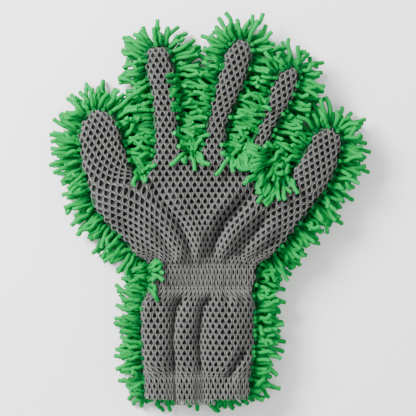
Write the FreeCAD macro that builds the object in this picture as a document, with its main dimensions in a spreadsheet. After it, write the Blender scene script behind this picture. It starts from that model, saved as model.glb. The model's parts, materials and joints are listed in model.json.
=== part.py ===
import FreeCAD, Part
import math
import os

import Sketcher

# A right-hand wash mitt lying palm down. X runs across the hand, Y from the cuff to the
# fingertips and Z up through the back of the hand. The origin is under the middle of the mitt,
# on the surface it lies on. The mitt is two cut panels, a spacer mesh back and a chenille palm,
# sewn into a pouch with five finger pockets and drawn in by two elastic bands.

# Shared sizes, in millimetres and degrees.
DIMENSIONS = {
    "clothBottom": 14.0,  # underside of the chenille cloth, with its pile below
    "seamHeight": 35.0,  # where the side walls meet the mesh back
    "meshTop": 38.0,  # outside of the mesh back
    "clothWall": 1.8,
    "meshWall": 2.6,
    "pileTop": 33.0,
    "pileRounding": 9.0,
    "wristY": -59.0,
    "wristLeft": -44.0,
    "wristRight": 38.0,
    "neckY": -37.0,
    "pileLeft": -68.0,
    "pileRight": 62.0,
    "pileEndY": -143.0,
    "cuffLeft": -50.0,
    "cuffRight": 39.0,
    "cuffFullY": -84.0,
    "cuffHemY": -122.0,
    "mouthLeft": -47.0,
    "mouthRight": 36.0,
    "mouthY": -137.0,
    "wristPivotZ": 24.0,
    "wristHalfGap": 15.0,  # half of the wedge left open for the wrist to bend
    "digitAxisZ": 26.0,
    "knucklePivotZ": 20.0,
    "curlHalfGap": 24.0,  # half of the wedge left open under a knuckle
    "liftHalfGap": 7.5,  # half of the wedge left open over a knuckle
    "gapMargin": 4.0,  # how far a knuckle's wedge runs past the pile on each side
    "clearance": 0.5,
    "overrun": 5.0,  # how far a cutting shape runs past what it cuts
    "seamWidth": 1.6,
    "seamDepth": 3.0,
    "beadRadius": 0.9,
    "elasticThickness": 1.2,
    "elasticRounding": 5.0,
    "wristElasticTop": -36.0,
    "wristElasticWidth": 20.0,
    "cuffElasticTop": -123.5,
    "cuffElasticWidth": 12.0,
    "stitchLength": 2.6,
    "stitchRadius": 0.4,
    "stitchPitch": 4.1,
}

# Each digit: the middle of its knuckle line, its angle from +Y towards +X, how far its cloth and
# its pile reach past the knuckle, its tube radius, half of the arc its mesh strip covers, and
# how far the pile stands out to each side at the knuckle and at the tip.
DIGITS = {
    "thumb": {"X": -67.5, "Y": 15.0, "Angle": -12.0, "Reach": 61.0, "PileReach": 72.4,
              "Radius": 15.5, "StripHalf": 66.0,
              "RootLeft": 38.0, "RootRight": 16.0, "TipLeft": 38.0, "TipRight": 21.2},
    "index": {"X": -29.0, "Y": 50.0, "Angle": -4.8, "Reach": 74.0, "PileReach": 88.0,
              "Radius": 12.0, "StripHalf": 43.0,
              "RootLeft": 19.0, "RootRight": 15.4, "TipLeft": 35.0, "TipRight": 22.6},
    "middle": {"X": 5.0, "Y": 47.0, "Angle": 14.9, "Reach": 84.0, "PileReach": 98.4,
               "Radius": 12.0, "StripHalf": 43.0,
               "RootLeft": 15.4, "RootRight": 13.0, "TipLeft": 25.2, "TipRight": 19.0},
    "ring": {"X": 33.0, "Y": 40.0, "Angle": 24.4, "Reach": 74.0, "PileReach": 88.0,
             "Radius": 12.0, "StripHalf": 43.0,
             "RootLeft": 14.2, "RootRight": 20.0, "TipLeft": 17.2, "TipRight": 20.0},
    "little": {"X": 64.5, "Y": 11.0, "Angle": 26.5, "Reach": 58.0, "PileReach": 73.0,
               "Radius": 12.5, "StripHalf": 57.0,
               "RootLeft": 13.0, "RootRight": 30.0, "TipLeft": 20.6, "TipRight": 28.8},
}

STITCH_ROWS = {
    "wrist_stitching": ("wristLeft", "wristRight", ["dims.neckY - 2", "dims.wristY + 6"]),
    "hem_stitching": ("mouthLeft", "mouthRight", ["dims.cuffHemY + 4"]),
}
TOLERANCE = 0.01


def make_sheet(doc):
    sheet = doc.addObject("Spreadsheet::Sheet", "dims")
    cells = dict(DIMENSIONS)
    for digit, sizes in DIGITS.items():
        cells.update({digit + name: value for name, value in sizes.items()})
    for row, (alias, value) in enumerate(cells.items(), start=1):
        sheet.set(f"A{row}", alias)
        sheet.set(f"B{row}", str(value))
        sheet.setAlias(f"B{row}", alias)
    doc.recompute()


# Sketches. A point is held by a pair of expressions of the sheet, one for each of its axes.

def new_sketch(body, plane, height="0"):
    sketch = body.newObject("Sketcher::SketchObject", body.Name + "_sketch")
    support = next(part for part in body.Origin.OriginFeatures if part.Role == plane)
    sketch.AttachmentSupport = [(support, "")]
    sketch.MapMode = "FlatFace"
    sketch.setExpression(".AttachmentOffset.Base.z", height)
    return sketch


def hold(sketch, kind, geometry, end, expression, guess):
    # A signed distance from the sketch's origin, which is point 1 of geometry -1.
    constraint = Sketcher.Constraint(kind, -1, 1, geometry, end, guess)
    index = sketch.addConstraint(constraint)
    sketch.setExpression(f"Constraints[{index}]", expression)


def hold_point(sketch, geometry, end, corner, guess):
    hold(sketch, "DistanceX", geometry, end, corner[0], guess[0])
    hold(sketch, "DistanceY", geometry, end, corner[1], guess[1])


def add_arc(sketch, start, end, centre):
    # Clockwise from start to end. The sketcher keeps arcs the other way round.
    middle = FreeCAD.Vector(*centre, 0)
    circle = Part.Circle(middle, FreeCAD.Vector(0, 0, 1), (start - middle).Length)
    angles = [math.atan2(p.y - middle.y, p.x - middle.x) for p in (end, start)]
    return sketch.addGeometry(Part.ArcOfCircle(circle, *angles), False)


def add_outline(sketch, corners, guesses=None, arcs=None, closed=True):
    # Lines, and clockwise arcs, from corner to corner. An arc is listed under the corner it
    # starts at, with a first guess of its centre and the expression that holds its height.
    arcs = arcs or {}
    guesses = guesses or [(i, i * i) for i in range(len(corners))]
    points = [FreeCAD.Vector(x, y, 0) for x, y in guesses]
    spans = len(corners) if closed else len(corners) - 1
    ends = []
    for i in range(spans):
        start, end = points[i], points[(i + 1) % len(points)]
        if i in arcs:
            centre, centre_height, clockwise = arcs[i]
            if not clockwise:
                start, end = end, start
            arc = add_arc(sketch, start, end, centre)
            hold(sketch, "DistanceY", arc, 3, centre_height, centre[1])
            ends.append((arc, 2, 1) if clockwise else (arc, 1, 2))
        else:
            ends.append((sketch.addGeometry(Part.LineSegment(start, end), False), 1, 2))
    for i in range(spans if closed else spans - 1):
        here, after = ends[i], ends[(i + 1) % spans]
        sketch.addConstraint(Sketcher.Constraint("Coincident", here[0], here[2], *after[:2]))
    for i in range(spans):
        hold_point(sketch, ends[i][0], ends[i][1], corners[i], guesses[i])
    if not closed:
        hold_point(sketch, ends[-1][0], ends[-1][2], corners[-1], guesses[-1])


def polygon_sketch(body, plane, corners, height="0"):
    sketch = new_sketch(body, plane, height)
    add_outline(sketch, corners)
    return sketch


# Solid features

def new_body(doc, name, digit=None):
    # A digit's body stands on the middle of its knuckle line, on its tube's axis, with its own
    # +Y along the digit.
    body = doc.addObject("PartDesign::Body", name)
    body.AllowCompound = True
    if digit:
        up = FreeCAD.Vector(0, 0, 1)
        body.Placement = FreeCAD.Placement(FreeCAD.Vector(), FreeCAD.Rotation(up, 1))
        body.setExpression(".Placement.Base.x", f"dims.{digit}X")
        body.setExpression(".Placement.Base.y", f"dims.{digit}Y")
        body.setExpression(".Placement.Base.z", "dims.digitAxisZ")
        body.setExpression(".Placement.Rotation.Angle", f"-dims.{digit}Angle")
    return body


def pad(body, sketch, height):
    feature = body.newObject("PartDesign::Pad", body.Name + "_pad")
    feature.Profile = sketch
    feature.setExpression("Length", height)
    return feature


def pad_both_ways(body, sketch, length, other_length):
    feature = pad(body, sketch, length)
    feature.SideType = "Two sides"
    feature.setExpression("Length2", other_length)
    return feature


def revolve(body, sketch):
    feature = body.newObject("PartDesign::Revolution", body.Name + "_turned")
    feature.Profile = sketch
    feature.ReferenceAxis = (sketch, ["H_Axis"])
    feature.Angle = 360
    return feature


def cut_through(body, sketch):
    feature = body.newObject("PartDesign::Pocket", body.Name + "_cut")
    feature.Profile = sketch
    feature.SideType = "Symmetric"
    feature.Type = "ThroughAll"
    return feature


def hollow(body, wall, is_open):
    # Keeps a wall inside every face but the open ones.
    body.Document.recompute()
    base = body.Tip
    faces = [f"Face{i}" for i, face in enumerate(base.Shape.Faces, start=1) if is_open(face)]
    feature = body.newObject("PartDesign::Thickness", body.Name + "_hollow")
    feature.Base = (base, faces)
    feature.Mode = "Skin"
    feature.Join = "Intersection"
    feature.Reversed = True
    feature.setExpression("Value", wall)
    return feature


def round_edges(body, radius, is_rounded):
    body.Document.recompute()
    base = body.Tip
    edges = [f"Edge{i}" for i, edge in enumerate(base.Shape.Edges, start=1) if is_rounded(edge)]
    feature = body.newObject("PartDesign::Fillet", body.Name + "_rounding")
    feature.Base = (base, edges)
    feature.setExpression("Radius", radius)
    return feature


def cut(doc, name, base, tool):
    feature = doc.addObject("Part::Cut", name)
    feature.Base = base
    feature.Tool = tool
    return feature


def compound(doc, name, members):
    feature = doc.addObject("Part::Compound", name)
    feature.Links = members
    return feature


def faces_up_or_down(face):
    return abs(face.normalAt(0, 0).z) > 1 - TOLERANCE


def faces_along(face):
    return abs(face.normalAt(0, 0).y) > 1 - TOLERANCE


def slab(doc, name, outline, bottom, top, digit=None):
    body = new_body(doc, name, digit)
    sketch = polygon_sketch(body, "XY_Plane", outline, bottom)
    pad(body, sketch, f"{top} - ({bottom})")
    return body


# Outlines of the palm and the cuff, seen from above

def on_digit(digit, across, along="0"):
    # A point by its distances across and along the digit from the middle of its knuckle line.
    x = f"dims.{digit}X + ({across}) * cos(dims.{digit}Angle) + ({along}) * sin(dims.{digit}Angle)"
    y = f"dims.{digit}Y - ({across}) * sin(dims.{digit}Angle) + ({along}) * cos(dims.{digit}Angle)"
    return x, y


def palm_cloth_outline():
    corners = [("dims.wristLeft", "dims.wristY"), ("dims.wristLeft", "dims.neckY")]
    for digit in DIGITS:
        corners.append(on_digit(digit, f"-dims.{digit}Radius"))
        corners.append(on_digit(digit, f"dims.{digit}Radius"))
    return corners + [("dims.wristRight", "dims.neckY"), ("dims.wristRight", "dims.wristY")]


def palm_pile_outline():
    corners = [("dims.pileLeft", "dims.wristY"), ("dims.pileLeft", "dims.neckY")]
    for digit in DIGITS:
        corners.append(on_digit(digit, f"-dims.{digit}RootLeft"))
        corners.append(on_digit(digit, f"dims.{digit}RootRight"))
    return corners + [("dims.pileRight", "dims.neckY"), ("dims.pileRight", "dims.wristY")]


def cuff_cloth_outline(end_y):
    top_y = "dims.wristY - 2 * dims.clearance"
    return [("dims.wristLeft", top_y), ("dims.wristRight", top_y),
            ("dims.cuffRight", "dims.cuffFullY"), ("dims.cuffRight", "dims.cuffHemY"),
            ("dims.mouthRight", end_y), ("dims.mouthLeft", end_y),
            ("dims.cuffLeft", "dims.cuffHemY"), ("dims.cuffLeft", "dims.cuffFullY")]


def cuff_pile_outline():
    top_y = "dims.wristY - 2 * dims.clearance"
    return [("dims.pileLeft", top_y), ("dims.pileRight", top_y),
            ("dims.pileRight", "dims.pileEndY"), ("dims.pileLeft", "dims.pileEndY")]


def wrist_opening(left, right, y):
    # The way through a pouch's end wall, between its side walls.
    corners = []
    for x, side in ((f"{left} + dims.clothWall", -1), (f"{right} - dims.clothWall", 1)):
        corners.append((x, f"{y} - ({side}) * dims.overrun"))
        corners.append((x, f"{y} + ({side}) * dims.overrun"))
    return corners


def digit_opening(digit):
    half = f"(dims.{digit}Radius - dims.clothWall)"
    return [on_digit(digit, "-" + half, "-dims.overrun"), on_digit(digit, "-" + half, "dims.overrun"),
            on_digit(digit, half, "dims.overrun"), on_digit(digit, half, "-dims.overrun")]


# Wedges left open at the knuckles and the wrist, so that one piece can swing against the next

def wedge(body, middle_y, floor_z, pivot_z, top_z, low_angle, high_angle, left, right):
    low = f"(dims.clearance + ({pivot_z} - ({floor_z})) * tan({low_angle}))"
    high = f"(dims.clearance + ({top_z} - ({pivot_z})) * tan({high_angle}))"
    corners = [(f"{middle_y} - {low}", floor_z), (f"{middle_y} - dims.clearance", pivot_z),
               (f"{middle_y} - {high}", top_z), (f"{middle_y} + {high}", top_z),
               (f"{middle_y} + dims.clearance", pivot_z), (f"{middle_y} + {low}", floor_z)]
    pad_both_ways(body, polygon_sketch(body, "YZ_Plane", corners), right, left)
    return body


def digit_wedge(doc, digit):
    return wedge(new_body(doc, digit + "_wedge", digit), "0", "-dims.digitAxisZ - 1",
                 "dims.knucklePivotZ - dims.digitAxisZ", "dims.digitAxisZ", "dims.curlHalfGap",
                 "dims.liftHalfGap", f"dims.{digit}RootLeft + dims.gapMargin",
                 f"dims.{digit}RootRight + dims.gapMargin")


def wrist_wedge(doc):
    return wedge(new_body(doc, "wrist_wedge"), "dims.wristY", "-1", "dims.wristPivotZ",
                 "2 * dims.digitAxisZ", "dims.wristHalfGap", "dims.wristHalfGap",
                 "1 - dims.pileLeft", "dims.pileRight + 1")


# Pieces of the palm and the cuff

def cloth_under(doc, name, outline, wedges):
    body = slab(doc, name + "_body", outline,
                "dims.clothBottom", "dims.clothBottom + dims.clothWall")
    return cut(doc, name, body, wedges)


def cloth_sides(doc, name, outline, openings, wedges):
    # The chenille cloth turned up to the seam, open at the knuckles, the wrist and the mouth.
    body = slab(doc, name + "_body", outline,
                "dims.clothBottom + dims.clothWall", "dims.seamHeight")
    hollow(body, "dims.clothWall", faces_up_or_down)
    return cut(doc, name, body, compound(doc, name + "_cuts", [openings, wedges]))


def seam_strip(doc, name, outline, openings, wedges):
    # The turned-in seam allowance: a strip just inside the wall, under the mesh.
    rings = []
    for ring, wall in (("outer", "dims.clothWall + dims.seamWidth"), ("inner", "dims.clothWall")):
        body = slab(doc, f"{name}_{ring}", outline,
                    "dims.seamHeight - dims.seamDepth", "dims.seamHeight")
        hollow(body, wall, faces_up_or_down)
        rings.append(body)
    return cut(doc, name, rings[0], compound(doc, name + "_cuts", [rings[1], openings, wedges]))


def mesh_back(doc, name, outline, wedges):
    body = slab(doc, name + "_body", outline, "dims.seamHeight", "dims.meshTop")
    return cut(doc, name, body, wedges)


def pile_under(doc, name, outline, wedges):
    # The room the chenille noodles fill under the cloth.
    body = slab(doc, name + "_body", outline, "0", "dims.clothBottom")
    return cut(doc, name, body, wedges)


def pile_sides(doc, name, outline, room_outline, wedges, is_side):
    # The room they fill beside the cloth, rounded over along its free sides.
    bulk = slab(doc, name + "_bulk", outline, "dims.clothBottom", "dims.pileTop")
    round_edges(bulk, "dims.pileRounding", is_side)
    room = slab(doc, name + "_room", room_outline, "dims.clothBottom", "dims.meshTop")
    return cut(doc, name, bulk, compound(doc, name + "_cuts", [room, wedges]))


def palm_side(edge):
    middle = edge.CenterOfMass
    outside = abs(middle.x) > DIMENSIONS["pileRight"] - TOLERANCE
    below_digits = middle.y < 0 and middle.y > DIMENSIONS["wristY"] + TOLERANCE
    return abs(middle.z - DIMENSIONS["pileTop"]) < TOLERANCE and outside and below_digits


def cuff_side(edge):
    middle = edge.CenterOfMass
    is_top = abs(middle.z - DIMENSIONS["pileTop"]) < TOLERANCE
    return is_top and middle.y < DIMENSIONS["cuffFullY"]


def elastic_band(doc, name, left, right, top_y, width):
    # A closed flat band that lines the pouch, clear of its walls and seams.
    inset = "dims.clothWall + dims.seamWidth + dims.clearance"
    low = "dims.clothBottom + dims.clothWall + dims.clearance"
    high = "dims.seamHeight - dims.seamDepth - dims.clearance"
    corners = [(f"{left} + {inset}", low), (f"{left} + {inset}", high),
               (f"{right} - ({inset})", high), (f"{right} - ({inset})", low)]
    body = new_body(doc, name)
    sketch = polygon_sketch(body, "XZ_Plane", corners, f"-({top_y})")
    pad(body, sketch, width)
    round_edges(body, "dims.elasticRounding", lambda edge: abs(edge.tangentAt(0).y) > 0.5)
    hollow(body, "dims.elasticThickness", faces_along)
    return body


def stitch_rows(doc, name, left, right, rows):
    # Short thread stitches lying across the mesh.
    count = int((DIMENSIONS[right] - DIMENSIONS[left]) / DIMENSIONS["stitchPitch"])
    sideways = FreeCAD.Rotation(FreeCAD.Vector(0, 1, 0), 90)
    stitches = []
    for row, row_y in enumerate(rows):
        for i in range(count):
            steps = i - count / 2
            stitch = doc.addObject("Part::Cylinder", f"{name}_{row}_{i}")
            stitch.Placement = FreeCAD.Placement(FreeCAD.Vector(), sideways)
            stitch.setExpression("Radius", "dims.stitchRadius")
            stitch.setExpression("Height", "dims.stitchLength")
            stitch.setExpression(".Placement.Base.x", f"(dims.{left} + dims.{right}) / 2"
                                 f" + ({steps}) * dims.stitchPitch + dims.stitchLength / 4")
            stitch.setExpression(".Placement.Base.y", row_y)
            stitch.setExpression(".Placement.Base.z", "dims.meshTop + dims.stitchRadius")
            stitches.append(stitch)
    return compound(doc, name, stitches)


# Pieces of a digit

def tube_profile(body, digit, wall):
    # Half of a round-ended tube above its axis, open at the knuckle.
    sizes = DIGITS[digit]
    radius, inner = sizes["Radius"], sizes["Radius"] - DIMENSIONS[wall]
    bend = sizes["Reach"] - radius
    guesses = [(0, radius), (bend, radius), (bend + radius, 0),
               (bend + inner, 0), (bend, inner), (0, inner)]
    outside = f"dims.{digit}Radius"
    inside = f"dims.{digit}Radius - dims.{wall}"
    along = f"dims.{digit}Reach - dims.{digit}Radius"
    corners = [("0", outside), (along, outside), (f"dims.{digit}Reach", "0"),
               (f"dims.{digit}Reach - dims.{wall}", "0"), (along, inside), ("0", inside)]
    sketch = new_sketch(body, "YZ_Plane")
    add_outline(sketch, corners, guesses,
                {1: ((bend, 0), "0", True), 3: ((bend, 0), "0", False)})
    return sketch


def half_tube(doc, name, digit, wall, keeps_top):
    # A round-ended tube wall, kept on one side of the level at which the two cloths are sewn.
    body = new_body(doc, name + "_body", digit)
    revolve(body, tube_profile(body, digit, wall))
    seam_z = f"dims.{digit}Radius * cos(dims.{digit}StripHalf)"
    side = "-" if keeps_top else ""
    far_z = f"{side}(dims.{digit}Radius + dims.overrun)"
    ends = ["-dims.overrun", f"dims.{digit}Reach + dims.overrun"]
    corners = [(ends[0], seam_z), (ends[1], seam_z), (ends[1], far_z), (ends[0], far_z)]
    cut_through(body, polygon_sketch(body, "YZ_Plane", corners))
    return body


def tube_room(doc, digit):
    # The whole round-ended tube, solid, with its back end past the knuckle.
    sizes = DIGITS[digit]
    radius, bend = sizes["Radius"], sizes["Reach"] - sizes["Radius"]
    back = -DIMENSIONS["overrun"]
    body = new_body(doc, digit + "_room", digit)
    sketch = new_sketch(body, "YZ_Plane")
    corners = [("-dims.overrun", "0"), ("-dims.overrun", f"dims.{digit}Radius"),
               (f"dims.{digit}Reach - dims.{digit}Radius", f"dims.{digit}Radius"),
               (f"dims.{digit}Reach", "0")]
    add_outline(sketch, corners, [(back, 0), (back, radius), (bend, radius), (bend + radius, 0)],
                {2: ((bend, 0), "0", True)})
    revolve(body, sketch)
    return body


def digit_pile(doc, digit, room, wedge_body):
    sizes = DIGITS[digit]
    tip_radius = (sizes["TipLeft"] + sizes["TipRight"]) / 2
    shoulder = sizes["PileReach"] - tip_radius
    half_tip = f"(dims.{digit}TipLeft + dims.{digit}TipRight) / 2"
    along = f"dims.{digit}PileReach - {half_tip}"
    guesses = [(-sizes["RootLeft"], 0), (-sizes["TipLeft"], shoulder),
               (sizes["TipRight"], shoulder), (sizes["RootRight"], 0)]
    corners = [(f"2 * dims.clearance - dims.{digit}RootLeft", "0"),
               (f"2 * dims.clearance - dims.{digit}TipLeft", along),
               (f"dims.{digit}TipRight - 2 * dims.clearance", along),
               (f"dims.{digit}RootRight - 2 * dims.clearance", "0")]
    centre_x = (sizes["TipRight"] - sizes["TipLeft"]) / 2
    body = new_body(doc, digit + "_bulk", digit)
    sketch = new_sketch(body, "XY_Plane", "-dims.digitAxisZ")
    add_outline(sketch, corners, guesses, {1: ((centre_x, shoulder), along, True)})
    pad(body, sketch, "dims.pileTop")
    top_z = DIMENSIONS["pileTop"] - DIMENSIONS["digitAxisZ"]
    round_edges(body, "dims.pileRounding", lambda edge: abs(edge.CenterOfMass.z - top_z)
                < TOLERANCE and edge.CenterOfMass.y > TOLERANCE)
    cuts = compound(doc, f"pile_{digit}_cuts", [room, wedge_body])
    return cut(doc, f"pile_{digit}", body, cuts)


def digit_seam(doc, digit, wedge_body):
    # The seam's rolled edge: a bead inside the tube, up one side, round the tip and back.
    sizes = DIGITS[digit]
    bead = DIMENSIONS["beadRadius"]
    reach = sizes["Radius"] - DIMENSIONS["meshWall"] - 1.2 * bead
    half = reach * math.sin(math.radians(sizes["StripHalf"]))
    bend = sizes["Reach"] - sizes["Radius"]
    room = f"(dims.{digit}Radius - dims.meshWall - 1.2 * dims.beadRadius)"
    across = f"{room} * sin(dims.{digit}StripHalf)"
    level = f"{room} * cos(dims.{digit}StripHalf)"
    along = f"dims.{digit}Reach - dims.{digit}Radius"
    body = new_body(doc, f"seam_{digit}_body", digit)
    path = new_sketch(body, "XY_Plane", level)
    corners = [(f"-{across}", "0"), (f"-{across}", along), (across, along), (across, "0")]
    add_outline(path, corners, [(-half, 0), (-half, bend), (half, bend), (half, 0)],
                {1: ((0, bend), along, True)}, closed=False)
    section = new_sketch(body, "XZ_Plane")
    circle = Part.Circle(FreeCAD.Vector(-half, half, 0), FreeCAD.Vector(0, 0, 1), bead)
    round_section = section.addGeometry(circle, False)
    hold_point(section, round_section, 3, (f"-{across}", level), (-half, half))
    size = section.addConstraint(Sketcher.Constraint("Radius", round_section, bead))
    section.setExpression(f"Constraints[{size}]", "dims.beadRadius")
    pipe = body.newObject("PartDesign::AdditivePipe", body.Name + "_bead")
    pipe.Profile = section
    pipe.Spine = path
    return cut(doc, f"seam_{digit}", body, wedge_body)


def make_digit(doc, digit, wedge_body):
    mesh = half_tube(doc, f"back_mesh_{digit}", digit, "meshWall", True)
    cloth = half_tube(doc, f"chenille_cloth_{digit}", digit, "clothWall", False)
    room = tube_room(doc, digit)
    return [cut(doc, f"back_mesh_{digit}", mesh, wedge_body),
            cut(doc, f"chenille_cloth_{digit}", cloth, wedge_body),
            digit_pile(doc, digit, room, wedge_body),
            digit_seam(doc, digit, wedge_body)]


def make_palm(doc, wedges):
    body = new_body(doc, "palm_openings")
    sketch = new_sketch(body, "XY_Plane", "dims.clothBottom + dims.clothWall")
    add_outline(sketch, wrist_opening("dims.wristLeft", "dims.wristRight", "dims.wristY"))
    for digit in DIGITS:
        add_outline(sketch, digit_opening(digit))
    pad(body, sketch, "dims.meshTop")
    outline, pile_outline = palm_cloth_outline(), palm_pile_outline()
    left, right, rows = STITCH_ROWS["wrist_stitching"]
    return [mesh_back(doc, "back_mesh_palm", outline, wedges),
            cloth_under(doc, "chenille_cloth_palm", outline, wedges),
            cloth_sides(doc, "side_cloth_palm", outline, body, wedges),
            pile_under(doc, "pile_palm", pile_outline, wedges),
            pile_sides(doc, "side_pile_palm", pile_outline, outline, wedges, palm_side),
            seam_strip(doc, "seam_palm", outline, body, wedges),
            elastic_band(doc, "wrist_elastic", "dims.wristLeft", "dims.wristRight",
                         "dims.wristElasticTop", "dims.wristElasticWidth"),
            stitch_rows(doc, "wrist_stitching", left, right, rows)]


def make_cuff(doc, wedge_body):
    body = new_body(doc, "cuff_openings")
    sketch = new_sketch(body, "XY_Plane", "dims.clothBottom + dims.clothWall")
    add_outline(sketch, wrist_opening("dims.wristLeft", "dims.wristRight", "dims.wristY"))
    add_outline(sketch, wrist_opening("dims.mouthLeft", "dims.mouthRight", "dims.mouthY"))
    pad(body, sketch, "dims.meshTop")
    outline, pile_outline = cuff_cloth_outline("dims.mouthY"), cuff_pile_outline()
    room_outline = cuff_cloth_outline("dims.pileEndY - dims.overrun")
    left, right, rows = STITCH_ROWS["hem_stitching"]
    return [mesh_back(doc, "back_mesh_cuff", outline, wedge_body),
            cloth_under(doc, "chenille_cloth_cuff", outline, wedge_body),
            cloth_sides(doc, "side_cloth_cuff", outline, body, wedge_body),
            pile_under(doc, "pile_cuff", pile_outline, wedge_body),
            pile_sides(doc, "side_pile_cuff", pile_outline, room_outline, wedge_body, cuff_side),
            seam_strip(doc, "seam_cuff", outline, body, wedge_body),
            elastic_band(doc, "cuff_elastic", "dims.mouthLeft", "dims.mouthRight",
                         "dims.cuffElasticTop", "dims.cuffElasticWidth"),
            stitch_rows(doc, "hem_stitching", left, right, rows)]


def check(doc, nodes):
    faults = [o.Name for o in doc.Objects if "Invalid" in o.State or "Error" in o.State]
    faults += [n.Name for n in nodes if n.Shape.isNull() or not n.Shape.isValid()]
    if faults:
        raise ValueError("not built properly: " + ", ".join(faults))


def main():
    doc = FreeCAD.newDocument("wash_mitt")
    make_sheet(doc)
    digit_wedges = {digit: digit_wedge(doc, digit) for digit in DIGITS}
    wrist = wrist_wedge(doc)
    wedges = compound(doc, "palm_wedges", [wrist] + list(digit_wedges.values()))
    nodes = make_palm(doc, wedges) + make_cuff(doc, wrist)
    for digit in DIGITS:
        nodes += make_digit(doc, digit, digit_wedges[digit])
    doc.recompute()
    check(doc, nodes)
    os.makedirs("parts", exist_ok=True)
    for node in nodes:
        node.Label = node.Name
        node.Shape.exportStep(f"parts/{node.Name}.step")


main()
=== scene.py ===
import json
import math

import bmesh
import bpy
import numpy as np
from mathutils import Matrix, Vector
from mathutils.geometry import delaunay_2d_cdt


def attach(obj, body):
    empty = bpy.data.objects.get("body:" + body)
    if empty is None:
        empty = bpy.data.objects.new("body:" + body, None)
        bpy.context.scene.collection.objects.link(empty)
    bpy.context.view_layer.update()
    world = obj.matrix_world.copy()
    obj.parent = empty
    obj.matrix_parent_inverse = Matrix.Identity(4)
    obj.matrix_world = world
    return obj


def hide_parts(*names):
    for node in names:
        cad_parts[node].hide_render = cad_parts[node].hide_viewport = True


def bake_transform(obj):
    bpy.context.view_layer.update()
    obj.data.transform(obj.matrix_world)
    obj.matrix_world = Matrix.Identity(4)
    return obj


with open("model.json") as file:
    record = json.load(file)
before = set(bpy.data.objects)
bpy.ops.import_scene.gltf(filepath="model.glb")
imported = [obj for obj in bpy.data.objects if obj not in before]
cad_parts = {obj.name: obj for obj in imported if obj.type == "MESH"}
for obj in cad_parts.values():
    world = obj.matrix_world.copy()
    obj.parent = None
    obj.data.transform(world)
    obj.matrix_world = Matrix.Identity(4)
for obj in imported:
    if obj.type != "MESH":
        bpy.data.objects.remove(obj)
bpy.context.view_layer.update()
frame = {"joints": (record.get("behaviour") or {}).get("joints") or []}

mm = 0.001
print("frame loaded")

# Each digit's own directions, from its knuckle hinge
digits = {}
for joint in frame["joints"]:
    if joint["child"] != "cuff":
        ax, ay, _ = joint["axis"]
        digits[joint["child"]] = {
            "knuckle": np.array(joint["pos_m"][:2]) * 1000,
            "along": np.array((ay, -ax)), "across": np.array((-ax, -ay))}
bodyNames = ["palm", "cuff"] + list(digits)

# ---- pattern cut of the back panel, in millimetres, clockwise from the left of the mouth
backCut = {
    "points": [
        (-43.5, -134), (-44.5, -118), (-46, -95), (-46, -70), (-43, -60), (-39, -51), (-38.5, -42),
        (-43, -36), (-52, -30), (-62, -18), (-73.5, -7), (-81, 4), (-84, 16), (-88, 28), (-90, 40),
        (-91.5, 51), (-89, 62), (-84, 70), (-77.5, 72), (-69.5, 69), (-64, 61), (-61, 50), (-57.5, 39),
        (-53, 28.5), (-46.5, 22.5), (-41, 27), (-37.5, 38), (-37, 50), (-37, 62), (-38.5, 80),
        (-41.5, 97), (-43, 108), (-41.5, 115.5), (-35.5, 119), (-28.5, 116), (-25, 107), (-22.5, 96),
        (-21.5, 80), (-21.5, 62), (-20, 50), (-17, 42), (-9.5, 37), (-3, 42), (-1.5, 50), (1, 62),
        (5.5, 80), (10, 97), (14.5, 112), (19, 121), (25.5, 123.5), (31, 120), (32.5, 113),
        (28.5, 97), (21.5, 79.5), (15, 62), (13, 50), (14.5, 41), (20, 36), (27, 40), (33.5, 50),
        (39.5, 62), (45, 80), (51, 96.5), (55.5, 101.5), (61, 103), (66, 100.5), (66.5, 95),
        (61, 80), (50.5, 62), (45, 50.5), (40.5, 39), (39.5, 28), (44, 19), (52, 14.5), (60, 19),
        (63.5, 28), (70, 39), (76, 51), (81, 57), (88, 59.5), (94, 57), (97, 50), (95.5, 39),
        (92, 28), (86, 16), (77, 4.5), (68.5, -7), (60, -18.5), (49, -30), (41, -36), (36, -42),
        (35.5, -51), (33, -60), (34, -70), (34, -95), (31, -117), (30.5, -127), (30, -133)],
    "mouthSag": 4.5,       # how far the hem bows down in the middle
    "steps": 3,            # new points on each run of the cut
    "spacing": 1.6,
}


def smoothLoop(points, steps, closed=True):
    # Catmull-Rom through the points
    points = np.array(points, float)
    count = len(points)
    out = []
    for i in range(count if closed else count - 1):
        a, b, c, d = (points[(i + k) % count] if closed else points[min(max(i + k, 0), count - 1)]
                      for k in (-1, 0, 1, 2))
        for s in range(steps):
            t = s / steps
            out.append(0.5 * (2 * b + (c - a) * t + (2 * a - 5 * b + 4 * c - d) * t * t
                              + (3 * b - a - 3 * c + d) * t ** 3))
    if not closed:
        out.append(points[-1])
    return np.array(out)


def insideLoop(x, y, loop):
    inside = np.zeros(x.shape, bool)
    for (ax, ay), (bx, by) in zip(loop, np.roll(loop, -1, axis=0)):
        if ay != by:
            crosses = (ay > y) != (by > y)
            inside ^= crosses & (x < (bx - ax) * (y - ay) / (by - ay) + ax)
    return inside


def outwardNormals(loop, closed=True):
    if closed:
        tangent = np.roll(loop, -1, axis=0) - np.roll(loop, 1, axis=0)
    else:
        tangent = np.gradient(loop, axis=0)
    tangent /= np.linalg.norm(tangent, axis=1, keepdims=True)
    return np.column_stack((-tangent[:, 1], tangent[:, 0]))  # the cut runs clockwise


sideCut = smoothLoop(backCut["points"], backCut["steps"], closed=False)


def mouthLine(start, end, sag, count=22):
    t = np.linspace(0, 1, count + 2)[1:-1, None]
    line = np.array(end) * (1 - t) + np.array(start) * t
    line[:, 1] -= sag * (4 * t[:, 0] * (1 - t[:, 0])) ** 0.8
    return line


def closeAtMouth(sides, below=0.0):
    return np.vstack((sides, mouthLine(sides[0], sides[-1], backCut["mouthSag"]) - (0, below)))


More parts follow.
